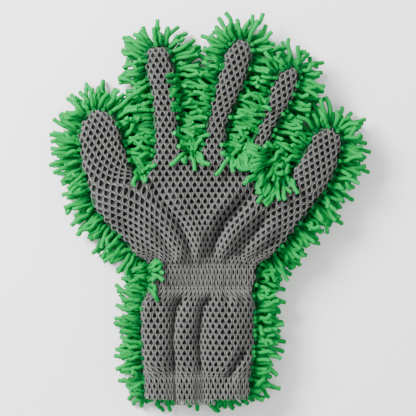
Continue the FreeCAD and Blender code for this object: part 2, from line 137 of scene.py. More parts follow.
clothCut = {"beyondMesh": 3.0}
clothSides = sideCut + outwardNormals(sideCut, closed=False) * clothCut["beyondMesh"]
clothLoop = closeAtMouth(clothSides)


# ---- how the pouch stands: a pillow height over the cut, solved on a grid
pouch = {
    "seamZ": 25.0,
    "backRise": 13.5, "backSoft": 7.0,
    "clothZ": 22.0, "palmDrop": 10.5, "palmSoft": 5.0,
    "tuck": 1.8, "tuckSlope": 1.5,   # how far the panel runs on past the seam, and how steeply
    "mouthBeyond": 2.4,   # how far the net runs on below the mouth line
    "cell": 1.25,
}


panelSides = sideCut + outwardNormals(sideCut, closed=False) * pouch["tuck"]
panelLoop = closeAtMouth(panelSides, pouch["mouthBeyond"])
seamLoop = closeAtMouth(sideCut)


class Field:
    # A value over the plane, kept on a grid
    def __init__(self, x0, y0, cell, values):
        self.x0, self.y0, self.cell, self.values = x0, y0, cell, values

    def at(self, x, y):
        rows, columns = self.values.shape
        u = np.clip((np.asarray(x) - self.x0) / self.cell, 0, columns - 1.001)
        v = np.clip((np.asarray(y) - self.y0) / self.cell, 0, rows - 1.001)
        i, j = u.astype(int), v.astype(int)
        fu, fv = u - i, v - j
        g = self.values
        return (g[j, i] * (1 - fu) * (1 - fv) + g[j, i + 1] * fu * (1 - fv)
                + g[j + 1, i] * (1 - fu) * fv + g[j + 1, i + 1] * fu * fv)


def pillowField(sides, rounds=2600):
    # Swelling under even pressure, held along the sides and free at the mouth
    cell = pouch["cell"]
    loop = np.vstack(([sides[0] - (0, 60)], sides, [sides[-1] - (0, 60)]))
    x0, y0 = -100.0, -200.0
    xs, ys = np.arange(x0, 105, cell), np.arange(y0, 130, cell)
    gx, gy = np.meshgrid(xs, ys)
    inside = insideLoop(gx, gy, loop)
    h = np.zeros(gx.shape)
    for _ in range(rounds):
        around = (h[1:-1, 2:] + h[1:-1, :-2] + h[2:, 1:-1] + h[:-2, 1:-1] + cell * cell) / 4
        h[1:-1, 1:-1] = np.where(inside[1:-1, 1:-1], around, 0)
    return Field(x0, y0, cell, np.sqrt(2 * h))


backField = pillowField(sideCut)
clothField = pillowField(clothSides)
print("pouch swollen")


def smoothStep(a, b, x):
    t = np.clip((x - a) / (b - a), 0, 1)
    return t * t * (3 - 2 * t)


# ---- folds of the back panel
folds = {
    "band": (-57.0, -38.0),   # the gathered wrist, low and high along Y
    "bandDip": 3.6, "rowPinch": 2.2, "rows": (-39.2, -55.2, -118.5),
    "gatherDepth": 0.7, "gatherPitch": 4.6,
    # the cuff's standing tubes: its sides, the two long folds between them, and how high each stands
    "cuffLeft": [(-45.5, -134), (-46, -118), (-48, -95), (-48, -70), (-44, -56)],
    "foldA": [(-22, -134), (-23.2, -118), (-24.3, -92), (-22.2, -71), (-15.5, -56)],
    "foldB": [(-3.5, -134), (-4.0, -118), (-6.2, -92), (-3.4, -69), (5.5, -56)],
    "cuffRight": [(32, -134), (33, -117), (36, -95), (36, -70), (35, -56)],
    "tubeTops": (15.5, 14.0, 17.0), "tubeFoot": 21.5,
    # soft creases: the points each runs through, its depth and its width
    "creases": [
        ([(-9.5, -37), (-13, -24), (-20, -9), (-34, 9), (-46, 22)], 6.0, 3.4),
        ([(3, -37), (6, -22), (12, -8), (24, 5), (40, 18)], 6.6, 3.4),
        ([(21, -36), (30, -23), (40, -8), (52, 3)], 6.8, 3.6),
        ([(-31, -37), (-42, -26), (-58, -12), (-70, 2)], 4.2, 4.2),
        ([(-22, -36), (-31, -20), (-42, -2)], 4.0, 3.4), ([(-3, -36), (-1.5, -20), (1, -8)], 3.2, 2.8),
        ([(13, -37), (21, -24), (32, -10)], 3.4, 2.8), ([(30, -37), (41, -27), (56, -14)], 4.4, 3.4),
        ([(28, -99), (20, -112), (12, -128)], 4.6, 2.4), ([(-36, -62), (-37, -82)], 1.8, 2.4),
        ([(14, -58), (17, -78)], 2.0, 2.6), ([(24, -58), (26, -72)], 1.6, 2.2),
        ([(-47, 25), (-56, 8)], 1.8, 3.4), ([(48, 14), (44, 0)], 2.0, 3.2)],
    "creaseScale": 1.5,
    "swellDepth": 1.5,
}


def polylineDistance(x, y, points):
    # Distance to a run of points, and how far along it
    best, along, total = np.full(np.shape(x), 1e9), np.zeros(np.shape(x)), 0.0
    lengths = [math.dist(a, b) for a, b in zip(points, points[1:])]
    for (ax, ay), (bx, by), length in zip(points, points[1:], lengths):
        t = np.clip(((x - ax) * (bx - ax) + (y - ay) * (by - ay)) / length ** 2, 0, 1)
        d = np.hypot(x - ax - t * (bx - ax), y - ay - t * (by - ay))
        along = np.where(d < best, (total + t * length) / sum(lengths), along)
        best = np.minimum(best, d)
        total += length
    return best, along


def beyondSeam(x, y):
    # How far a place lies outside the seam line, and nothing inside it
    outside = ~insideLoop(x, y, np.vstack(([sideCut[0] - (0, 60)], sideCut, [sideCut[-1] - (0, 60)])))
    d = np.zeros(np.shape(x))
    d[outside] = polylineDistance(x[outside], y[outside], [tuple(p) for p in sideCut])[0]
    return np.minimum(d, 6)


def creaseDrop(x, y):
    drop = np.zeros(np.shape(x))
    for points, depth, width in folds["creases"]:
        d, t = polylineDistance(x, y, points)
        ends = smoothStep(-0.02, 0.14, t) * smoothStep(1.0, 0.55, t)
        drop += folds["creaseScale"] * depth * ends * (np.exp(-(d / width) ** 1.5) - 0.4 * np.exp(-((d - 2.6 * width) / (1.3 * width)) ** 2))
    return drop


def lineAt(name, y):
    points = sorted(folds[name], key=lambda p: p[1])
    return np.interp(y, [p[1] for p in points], [p[0] for p in points])


def tubeHeight(x, y):
    # Rounded tubes standing side by side along the cuff
    edges = [lineAt(name, y) for name in ("cuffLeft", "foldA", "foldB", "cuffRight")]
    z = np.full(np.shape(x), folds["tubeFoot"])
    for a, b, top in zip(edges, edges[1:], folds["tubeTops"]):
        t = np.clip((x - a) / (b - a), 0, 1)
        z = np.maximum(z, folds["tubeFoot"] + top * (4 * t * (1 - t)) ** 0.5)
    return z


def backHeight(x, y):
    s = backField.at(x, y)
    z = pouch["seamZ"] + pouch["backRise"] * (1 - np.exp(-s / pouch["backSoft"]))
    full = 1 - np.exp(-s / 5)
    low, high = folds["band"]
    tubes = smoothStep(low - 1, low - 9, y) * (0.35 + 0.65 * smoothStep(-121, -113, y))
    z = z * (1 - tubes) + tubeHeight(x, y) * tubes
    band = smoothStep(low - 5, low + 2, y) * smoothStep(high + 7, high - 2, y)
    z -= folds["bandDip"] * band * full
    for row in folds["rows"]:
        z -= folds["rowPinch"] * full * np.exp(-((y - row) / 1.8) ** 2)
    wave = 2 * math.pi * x / folds["gatherPitch"] + 1.6 * np.sin(x * 0.31) + 0.9 * np.sin(y * 0.21 + x * 0.11)
    near = smoothStep(low - 16, low, y) * smoothStep(high + 15, high, y)
    z += folds["gatherDepth"] * near * full * np.sin(wave)
    hem = smoothStep(-112, -119, y)
    z += 0.7 * hem * full * np.sin(2 * math.pi * x / 6.5 + 1.3 * np.sin(x * 0.23))
    z -= creaseDrop(x, y) * full
    swell = np.sin(x * 0.083 + 1.1) * np.sin(y * 0.071 + 0.4) + 0.6 * np.sin(x * 0.16 - y * 0.13)
    z += folds["swellDepth"] * swell * full * smoothStep(60, 20, y)
    return z - pouch["tuckSlope"] * beyondSeam(x, y)


def clothHeight(x, y):
    s = clothField.at(x, y)
    return pouch["clothZ"] - pouch["palmDrop"] * (1 - np.exp(-s / pouch["palmSoft"]))


def bodyAt(x, y):
    # The body each place belongs to, as a place in bodyNames
    found = np.zeros(np.shape(x), int)
    found[np.asarray(y) < -59] = 1
    spans = {"thumb": (-33, 19), "index": (-34, 19), "middle": (-27, 17), "ring": (-16, 24), "little": (-17, 34)}
    best = np.full(np.shape(x), 1e9)
    for name, digit in digits.items():
        dx, dy = x - digit["knuckle"][0], y - digit["knuckle"][1]
        along = dx * digit["along"][0] + dy * digit["along"][1]
        across = dx * digit["across"][0] + dy * digit["across"][1]
        near = (along > 0) & (across > spans[name][0]) & (across < spans[name][1]) & (np.abs(across) < best)
        best = np.where(near, np.abs(across), best)
        found = np.where(near, bodyNames.index(name), found)
    return found


# ---- how much flat cloth is gathered into each width, from the mouth to the fingertips
gathering = {"y": [-138, -121, -110, 130], "fullness": [1.3, 1.28, 1.04, 1.04],
             "openY": [-138, -121, -110, -70, -56, -40, -26, -4, 40, 130],
             "open": [0.85, 0.85, 1.05, 1.05, 0.6, 0.7, 1.0, 1.1, 1.08, 1.05],
             "fanCentre": (-1.0, -92.0), "fanRadius": 105.0,
             "middle": -6.0, "edgeRoll": 3.4, "edgeSoft": 3.2, "settleOver": 14.0, "turnOver": 44.0}


def fanPlace(x, y):
    # Above the band the columns fan out over the palm, then stand upright in its middle
    cx, cy = gathering["fanCentre"]
    turn, r = np.arctan2(x - cx, y - cy), np.hypot(x - cx, y - cy)
    fan = np.column_stack((cx + gathering["fanRadius"] * turn, cy + r))
    level = smoothStep(-15, 25, y - 0.9 * np.maximum(np.abs(x) - 35, 0))[:, None]
    return fan * (1 - level) + np.column_stack((x, y)) * level


def foldLength(x, y):
    # True length across the cuff's standing tubes, measured from the middle
    middle, cell = gathering["middle"], pouch["cell"]
    xs, ys = np.arange(-110.0, 115, cell), np.arange(-106.0, -76, cell)
    gx, gy = np.meshgrid(xs, ys)
    slope = np.clip(np.diff(backHeight(gx, gy), axis=1) / cell, -2.2, 2.2)
    step = (np.sqrt(1 + slope ** 2) * cell).mean(0)
    run = np.concatenate(((0,), np.cumsum(step)))
    return middle + np.interp(x, xs, run) - np.interp(middle, xs, run)


def flatPlace(x, y):
    # Place on the flat cut: fanned over the palm, gathered in the band, laid over the tubes of
    # the cuff, and turned back upright on each digit
    cx, cy = gathering["fanCentre"]
    low, high = folds["band"]
    inBand = np.column_stack((cx + gathering["fanRadius"] * np.arctan2(x - cx, high - cy), y))
    fullness = np.interp(y, gathering["y"], gathering["fullness"])
    inCuff = np.column_stack((foldLength(x, y) * fullness, y))
    toCuff = smoothStep(low + 2, low - 9, y)[:, None]
    below = inBand * (1 - toCuff) + inCuff * toCuff
    toBand = smoothStep(high + 10, high - 2, y)[:, None]
    place = fanPlace(x, y) * (1 - toBand) + below * toBand
    roll = gathering["edgeRoll"] * np.exp(-backField.at(x, y) / gathering["edgeSoft"]) * smoothStep(-28, 8, y)
    roll = roll + beyondSeam(x, y)
    gx = (backField.at(x + 1, y) - backField.at(x - 1, y)) / 2
    gy = (backField.at(x, y + 1) - backField.at(x, y - 1)) / 2
    size = np.maximum(np.hypot(gx, gy), 1.0)
    roll = np.column_stack((-roll * gx / size, -roll * gy / size))
    owner = bodyAt(x, y)
    for name, digit in digits.items():
        mine = owner == bodyNames.index(name)
        kx, ky = digit["knuckle"]
        root, above = fanPlace(np.array((kx, kx)), np.array((ky, ky + 1)))
        fanTurn = math.atan2(root[0] - above[0], above[1] - root[1])
        out = np.column_stack((x, y))[mine] - digit["knuckle"]
        length = out @ digit["along"]
        settled = smoothStep(0, gathering["settleOver"], length)[:, None]
        turn = fanTurn + (math.atan2(*digit["along"]) - fanTurn) * smoothStep(0, gathering["turnOver"], length)
        out = out + roll[mine]
        turned = np.column_stack((out[:, 0] * np.cos(turn) - out[:, 1] * np.sin(turn),
                                  out[:, 0] * np.sin(turn) + out[:, 1] * np.cos(turn)))
        place[mine] = (place[mine] + roll[mine]) * (1 - settled) + (root + turned) * settled
    place[owner < 2] += roll[owner < 2]
    return place


# ---- meshes
def makeObject(name, mesh):
    thing = bpy.data.objects.new(name, mesh)
    bpy.context.scene.collection.objects.link(thing)
    return thing


def makeMesh(name, vertices, faces, edges=()):
    mesh = bpy.data.meshes.new(name)
    mesh.from_pydata([tuple(v) for v in np.asarray(vertices) * mm], list(edges), [tuple(f) for f in faces])
    mesh.update()
    return mesh


def addFloat(mesh, name, values):
    layer = mesh.attributes.new(name, "FLOAT", "POINT")
    layer.data.foreach_set("value", np.asarray(values, np.float32))


def addFlatMap(mesh, flat):
    layer = mesh.uv_layers.new(name="flat")
    corners = np.zeros(len(mesh.loops), np.int32)
    mesh.loops.foreach_get("vertex_index", corners)
    layer.data.foreach_set("uv", (np.asarray(flat)[corners] * mm).astype(np.float32).ravel())


def fillCut(loop, spacing):
    # Triangles inside a cut, with points between on a staggered lattice
    x0, y0 = loop.min(0)
    x1, y1 = loop.max(0)
    xs, ys = np.arange(x0, x1, spacing), np.arange(y0, y1, spacing * 0.87)
    gx, gy = np.meshgrid(xs, ys)
    gx = gx + spacing / 2 * (np.arange(len(ys)) % 2)[:, None]
    points = np.column_stack((gx.ravel(), gy.ravel()))
    points = points[insideLoop(points[:, 0], points[:, 1], loop)]
    dense = smoothLoop(loop, 2)
    far = [np.min((dense[:, 0] - p[0]) ** 2 + (dense[:, 1] - p[1]) ** 2) > (0.6 * spacing) ** 2 for p in points]
    everything = np.vstack((loop, points[np.array(far)]))
    ring = [(i, (i + 1) % len(loop)) for i in range(len(loop))]
    vertices, _, faces, *_ = delaunay_2d_cdt([Vector(p) for p in everything], ring, [], 1, 1e-6)
    return np.array([tuple(v) for v in vertices]), faces


def keepFaces(mesh, name, keep):
    # A copy of a mesh with only some of its faces
    bm = bmesh.new()
    bm.from_mesh(mesh)
    bm.faces.ensure_lookup_table()
    bmesh.ops.delete(bm, geom=[f for f, k in zip(bm.faces, keep) if not k], context="FACES")
    part = bpy.data.meshes.new(name)
    bm.to_mesh(part)
    bm.free()
    for material in mesh.materials:
        part.materials.append(material)
    return part


def faceCentres(mesh):
    centres = np.zeros(len(mesh.polygons) * 3)
    mesh.polygons.foreach_get("center", centres)
    return centres.reshape(-1, 3) / mm


def splitByBody(mesh, prefix, places=None):
    places = faceCentres(mesh) if places is None else places
    owner = bodyAt(places[:, 0], places[:, 1])
    parts = {}
    for i, body in enumerate(bodyNames):
        if np.any(owner == i):
            parts[body] = makeObject(f"{prefix}_{body}", keepFaces(mesh, f"{prefix}_{body}", owner == i))
    return parts


def follow(piece, body, slotName, *replaced):
    # Palm pieces ride on the palm's body; the others have their placement baked into their vertices, and the parts they
    # replace are hidden
    if body == "palm":
        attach(piece, "palm")
    elif body == "cuff":
        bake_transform(piece)
    else:
        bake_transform(piece)
    if replaced:
        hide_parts(*replaced)


# ---- small helpers for building node trees
def link(tree, source, target):
    tree.links.new(source, target)


def node(tree, kind, values=None, **settings):
    made = tree.nodes.new(kind)
    for key, value in settings.items():
        setattr(made, key, value)
    for key, value in (values or {}).items():
        if isinstance(value, bpy.types.NodeSocket):
            link(tree, value, made.inputs[key])
        else:
            made.inputs[key].default_value = value
    return made


def math2(tree, operation, a, b=0.0, clamp=False):
    return node(tree, "ShaderNodeMath", {0: a, 1: b}, operation=operation, use_clamp=clamp).outputs[0]


def vector2(tree, operation, a, b=(0, 0, 0)):
    return node(tree, "ShaderNodeVectorMath", {0: a, 1: b}, operation=operation).outputs[0]


def scaled(tree, vector, amount):
    return node(tree, "ShaderNodeVectorMath", {0: vector, "Scale": amount}, operation="SCALE").outputs[0]


def geometryTree(name, inputs):
    tree = bpy.data.node_groups.new(name, "GeometryNodeTree")
    tree.interface.new_socket("Geometry", in_out="INPUT", socket_type="NodeSocketGeometry")
    for label, (kind, value) in inputs.items():
        made = tree.interface.new_socket(label, in_out="INPUT", socket_type="NodeSocket" + kind)
        if value is not None:
            made.default_value = value
    tree.interface.new_socket("Geometry", in_out="OUTPUT", socket_type="NodeSocketGeometry")
    return tree, tree.nodes.new("NodeGroupInput").outputs, tree.nodes.new("NodeGroupOutput").inputs


def named(tree, name, kind="FLOAT_VECTOR"):
    made = node(tree, "GeometryNodeInputNamedAttribute", {"Name": name}, data_type=kind)
    return next(o for o in made.outputs if o.enabled and o.name == "Attribute")


def store(tree, geometry, name, value, kind="FLOAT_VECTOR", domain="POINT", selection=True):
    made = node(tree, "GeometryNodeStoreNamedAttribute", {"Geometry": geometry, "Name": name, "Selection": selection},
                data_type=kind, domain=domain)
    socket = next(i for i in made.inputs if i.enabled and i.name == "Value")
    if isinstance(value, bpy.types.NodeSocket):
        link(tree, value, socket)
    else:
        socket.default_value = value
    return made.outputs[0]


def grow(thing, tree, values, extra=()):
    # Runs a geometry tree on an object and keeps the result as a plain mesh
    modifier = thing.modifiers.new("grow", "NODES")
    modifier.node_group = tree
    for item in tree.interface.items_tree:
        if item.in_out == "INPUT" and item.name in values:
            modifier[item.identifier] = values[item.name]
    for kind, settings in extra:
        later = thing.modifiers.new(kind.lower(), kind)
        for key, value in settings.items():
            setattr(later, key, value)
    bpy.context.view_layer.update()
    ready = thing.evaluated_get(bpy.context.evaluated_depsgraph_get())
    mesh = bpy.data.meshes.new_from_object(ready)
    thing.modifiers.clear()
    return mesh


# ---- shader groups
def shaderGroup(name, inputs, outputs):
    tree = bpy.data.node_groups.new(name, "ShaderNodeTree")
    for label, (kind, value) in inputs.items():
        made = tree.interface.new_socket(label, in_out="INPUT", socket_type="NodeSocket" + kind)
        if value is not None:
            made.default_value = value
    for label, kind in outputs.items():
        tree.interface.new_socket(label, in_out="OUTPUT", socket_type="NodeSocket" + kind)
    return tree, tree.nodes.new("NodeGroupInput").outputs, tree.nodes.new("NodeGroupOutput").inputs


def mixColor(tree, factor, a, b, blend="MIX"):
    made = node(tree, "ShaderNodeMix", data_type="RGBA", blend_type=blend)
    for place, value in ((0, factor), (6, a), (7, b)):
        if isinstance(value, bpy.types.NodeSocket):
            link(tree, value, made.inputs[place])
        else:
            made.inputs[place].default_value = value
    return made.outputs[2]


def makeFuzz():
    # Fine fibre ends: speckled tone and a bumpy height
    tree, given, out = shaderGroup("fibreFuzz", {"Vector": ("Vector", None), "Scale": ("Float", 900.0),
                                                 "Strength": ("Float", 0.5)},
                                   {"Tone": "Float", "Height": "Float"})
    coarse = node(tree, "ShaderNodeTexNoise", {"Vector": given["Vector"], "Scale": given["Scale"],
                                               "Detail": 3.0, "Roughness": 0.65})
    finer = math2(tree, "MULTIPLY", given["Scale"], 2.7)
    fine = node(tree, "ShaderNodeTexVoronoi", {"Vector": given["Vector"], "Scale": finer})
    mixed = math2(tree, "ADD", coarse.outputs[0], math2(tree, "MULTIPLY", fine.outputs[0], 0.5))
    link(tree, mixed, out["Height"])
    centred = math2(tree, "SUBTRACT", mixed, 0.8)
    link(tree, math2(tree, "MULTIPLY", centred, given["Strength"]), out["Tone"])
    return tree


def makeKnit():
    # Small knitted loops: ribs across rows, from the flat map, and painted shade in the low gaps between the loops
    tree, given, out = shaderGroup("knitLoops", {"Vector": ("Vector", None), "Pitch": ("Float", 0.8)},
                                   {"Height": "Float", "Gap Shade": "Float"})
    split = node(tree, "ShaderNodeSeparateXYZ", {0: given["Vector"]}).outputs
    turns = math2(tree, "DIVIDE", 6283.18, given["Pitch"])
    across = math2(tree, "SINE", math2(tree, "MULTIPLY", split[0], turns))
    slanted = math2(tree, "ADD", split[1], math2(tree, "MULTIPLY", math2(tree, "ABSOLUTE", across), 0.0002))
    along = math2(tree, "SINE", math2(tree, "MULTIPLY", slanted, math2(tree, "MULTIPLY", turns, 1.3)))
    height = math2(tree, "ADD", math2(tree, "MULTIPLY", math2(tree, "ABSOLUTE", across), 0.6),
                   math2(tree, "MULTIPLY", along, 0.4))
    link(tree, height, out["Height"])
    link(tree, math2(tree, "SUBTRACT", 0.55, height, clamp=True), out["Gap Shade"])
    return tree


fuzzGroup, knitGroup = makeFuzz(), makeKnit()


def newMaterial(name, roughness, sheen=0.0, sheenRoughness=0.5):
    material = bpy.data.materials.new(name)
    material.use_nodes = True
    tree = material.node_tree
    shader = tree.nodes["Principled BSDF"]
    shader.inputs["Roughness"].default_value = roughness
    shader.inputs["Sheen Weight"].default_value = sheen
    shader.inputs["Sheen Roughness"].default_value = sheenRoughness
    shader.inputs["Specular IOR Level"].default_value = 0.25
    return material, tree, shader


def bump(tree, shader, height, strength, distance):
    made = node(tree, "ShaderNodeBump", {"Height": height, "Strength": strength, "Distance": distance})
    link(tree, made.outputs[0], shader.inputs["Normal"])


def ramp(tree, factor, stops):
    made = node(tree, "ShaderNodeValToRGB", {0: factor})
    made.color_ramp.elements[0].position, made.color_ramp.elements[0].color = stops[0][0], (*stops[0][1], 1)
    made.color_ramp.elements[1].position, made.color_ramp.elements[1].color = stops[-1][0], (*stops[-1][1], 1)
    for place, color in stops[1:-1]:
        made.color_ramp.elements.new(place).color = (*color, 1)
    return made.outputs[0]


# cordDark is painted shade for the grooves, hole walls and knit gaps, and the dark end of a random mottling
meshLook = {"cord": (0.20, 0.20, 0.188), "cordDark": (0.012, 0.013, 0.012), "roughness": 0.8,
            "knitPitch": 0.62, "knitDepth": 0.00025}


def makeMeshMaterial(name, light, dark):
    material, tree, shader = newMaterial(name, meshLook["roughness"], 0.25)
    flat = node(tree, "ShaderNodeUVMap", uv_map="flat").outputs[0]
    place = node(tree, "ShaderNodeTexCoord").outputs["Object"]
    knit = node(tree, "ShaderNodeGroup", node_tree=knitGroup)
    link(tree, flat, knit.inputs["Vector"])
    knit.inputs["Pitch"].default_value = meshLook["knitPitch"]
    fuzz = node(tree, "ShaderNodeGroup", node_tree=fuzzGroup)
    link(tree, place, fuzz.inputs["Vector"])
    fuzz.inputs["Scale"].default_value = 1400.0
    fuzz.inputs["Strength"].default_value = 0.5
    wide = node(tree, "ShaderNodeTexNoise", {"Vector": place, "Scale": 40.0, "Detail": 2.0}).outputs[0]
    rise = node(tree, "ShaderNodeAttribute", attribute_name="rise").outputs["Fac"]
    # painted shade: the cord darkens down the grooves between hole rims and on the hole walls, by how low the rise
    # attribute sits
    grooveShade = node(tree, "ShaderNodeMapRange", {0: rise, 1: 0.00022, 2: -0.00045, 3: 0.0, 4: 0.9}).outputs[0]
    # painted shade in the knit's gaps between loops, with random speckle
    tone = math2(tree, "ADD", math2(tree, "MULTIPLY", knit.outputs["Gap Shade"], 0.6), fuzz.outputs["Tone"])
    tone = math2(tree, "ADD", tone, grooveShade, clamp=True)
    base = mixColor(tree, tone, (*light, 1), (*dark, 1))
    shaded = mixColor(tree, math2(tree, "MULTIPLY", wide, 0.35), base, (*dark, 1))
    link(tree, shaded, shader.inputs["Base Color"])
    height = math2(tree, "ADD", knit.outputs["Height"], math2(tree, "MULTIPLY", fuzz.outputs["Height"], 0.5))
    bump(tree, shader, height, 0.7, meshLook["knitDepth"])
    return material


# the darkest stop is painted shade at the noodles' roots and the palest stop a painted highlight on their tips
chenilleLook = {"root": (0.0, 0.08, 0.018), "middle": (0.0, 0.23, 0.04), "tip": (0.0, 0.275, 0.05),
                "highlight": (0.0, 0.33, 0.068), "roughness": 0.75, "fuzzScale": 700.0, "fuzzDepth": 0.0006}


def makeChenilleMaterial(name):
    material, tree, shader = newMaterial(name, chenilleLook["roughness"])
    shader.inputs["Specular IOR Level"].default_value = 0.06
    place = node(tree, "ShaderNodeTexCoord").outputs["Object"]
    along = node(tree, "ShaderNodeAttribute", attribute_name="along").outputs["Fac"]
    tone = node(tree, "ShaderNodeAttribute", attribute_name="tone").outputs["Fac"]
    fuzz = node(tree, "ShaderNodeGroup", node_tree=fuzzGroup)
    link(tree, place, fuzz.inputs["Vector"])
    fuzz.inputs["Scale"].default_value = chenilleLook["fuzzScale"]
    fuzz.inputs["Strength"].default_value = 0.45
    # painted shade at the roots rising to a painted highlight at the tips along each noodle; tone adds random variation
    # per noodle
    lift = math2(tree, "ADD", math2(tree, "MULTIPLY", along, 0.62), math2(tree, "MULTIPLY", tone, 0.26))
    factor = math2(tree, "ADD", lift, fuzz.outputs["Tone"], clamp=True)
    color = ramp(tree, factor, [(0.0, chenilleLook["root"]), (0.35, chenilleLook["middle"]),
                                (0.75, chenilleLook["tip"]), (1.0, chenilleLook["highlight"])])
    link(tree, color, shader.inputs["Base Color"])
    bump(tree, shader, fuzz.outputs["Height"], 0.8, chenilleLook["fuzzDepth"])
    return material


def makeClothMaterial(name, light, dark, scale):
    # A dense knitted backing or webbing
    material, tree, shader = newMaterial(name, 0.85, 0.2)
    place = node(tree, "ShaderNodeTexCoord").outputs["Object"]
    knit = node(tree, "ShaderNodeGroup", node_tree=knitGroup)
    link(tree, place, knit.inputs["Vector"])
    knit.inputs["Pitch"].default_value = scale
    fuzz = node(tree, "ShaderNodeGroup", node_tree=fuzzGroup)
    link(tree, place, fuzz.inputs["Vector"])
    # painted shade in the knit's gaps between loops, with random speckle
    tone = math2(tree, "ADD", knit.outputs["Gap Shade"], fuzz.outputs["Tone"], clamp=True)
    link(tree, mixColor(tree, tone, (*light, 1), (*dark, 1)), shader.inputs["Base Color"])
    bump(tree, shader, knit.outputs["Height"], 0.6, 0.0003)
    return material


meshMaterial = makeMeshMaterial("greyMeshCord", meshLook["cord"], meshLook["cordDark"])
# near-black colours: painted shade seen through the net's holes
innerMaterial = makeClothMaterial("spacerInner", (0.022, 0.023, 0.022), (0.008, 0.008, 0.008), 0.9)
chenilleMaterial = makeChenilleMaterial("chenilleNoodle")
backingMaterial = makeClothMaterial("chenilleBacking", (0.0, 0.10, 0.025), (0.0, 0.04, 0.01), 1.2)
elasticMaterial = makeClothMaterial("elasticWebbing", (0.05, 0.052, 0.05), (0.02, 0.02, 0.02), 1.0)
threadMaterial = makeClothMaterial("greyThread", (0.24, 0.24, 0.225), (0.10, 0.10, 0.095), 0.4)
seamMaterial = makeClothMaterial("greenThread", (0.0, 0.10, 0.02), (0.0, 0.04, 0.01), 0.5)
print("materials made")


# ---- the back panel's base surface, with its flat map
flatPoints, panelFaces = fillCut(panelLoop, backCut["spacing"])
panelX, panelY = flatPoints[:, 0], flatPoints[:, 1]
panelMesh = makeMesh("backPanel", np.column_stack((panelX, panelY, backHeight(panelX, panelY))), panelFaces)
flatMap = flatPlace(panelX, panelY)
addFlatMap(panelMesh, flatMap)
addFloat(panelMesh, "open", np.interp(panelY, gathering["openY"], gathering["open"]))
print("back panel filled:", len(panelFaces), "faces")

# ---- the mesh net: staggered teardrop holes, each with a raised rim
net = {"pitchAcross": 5.0, "rowSpacing": 3.9, "rimWide": 0.79, "rimTall": 0.95, "holeWide": 0.6, "holeTall": 0.92,
       "teardrop": 1.5, "groove": -0.45, "rim": 0.3, "lip": 0.0, "wall": -1.2, "lift": 0.5, "margin": 10.0,
       "longest": 3.6}


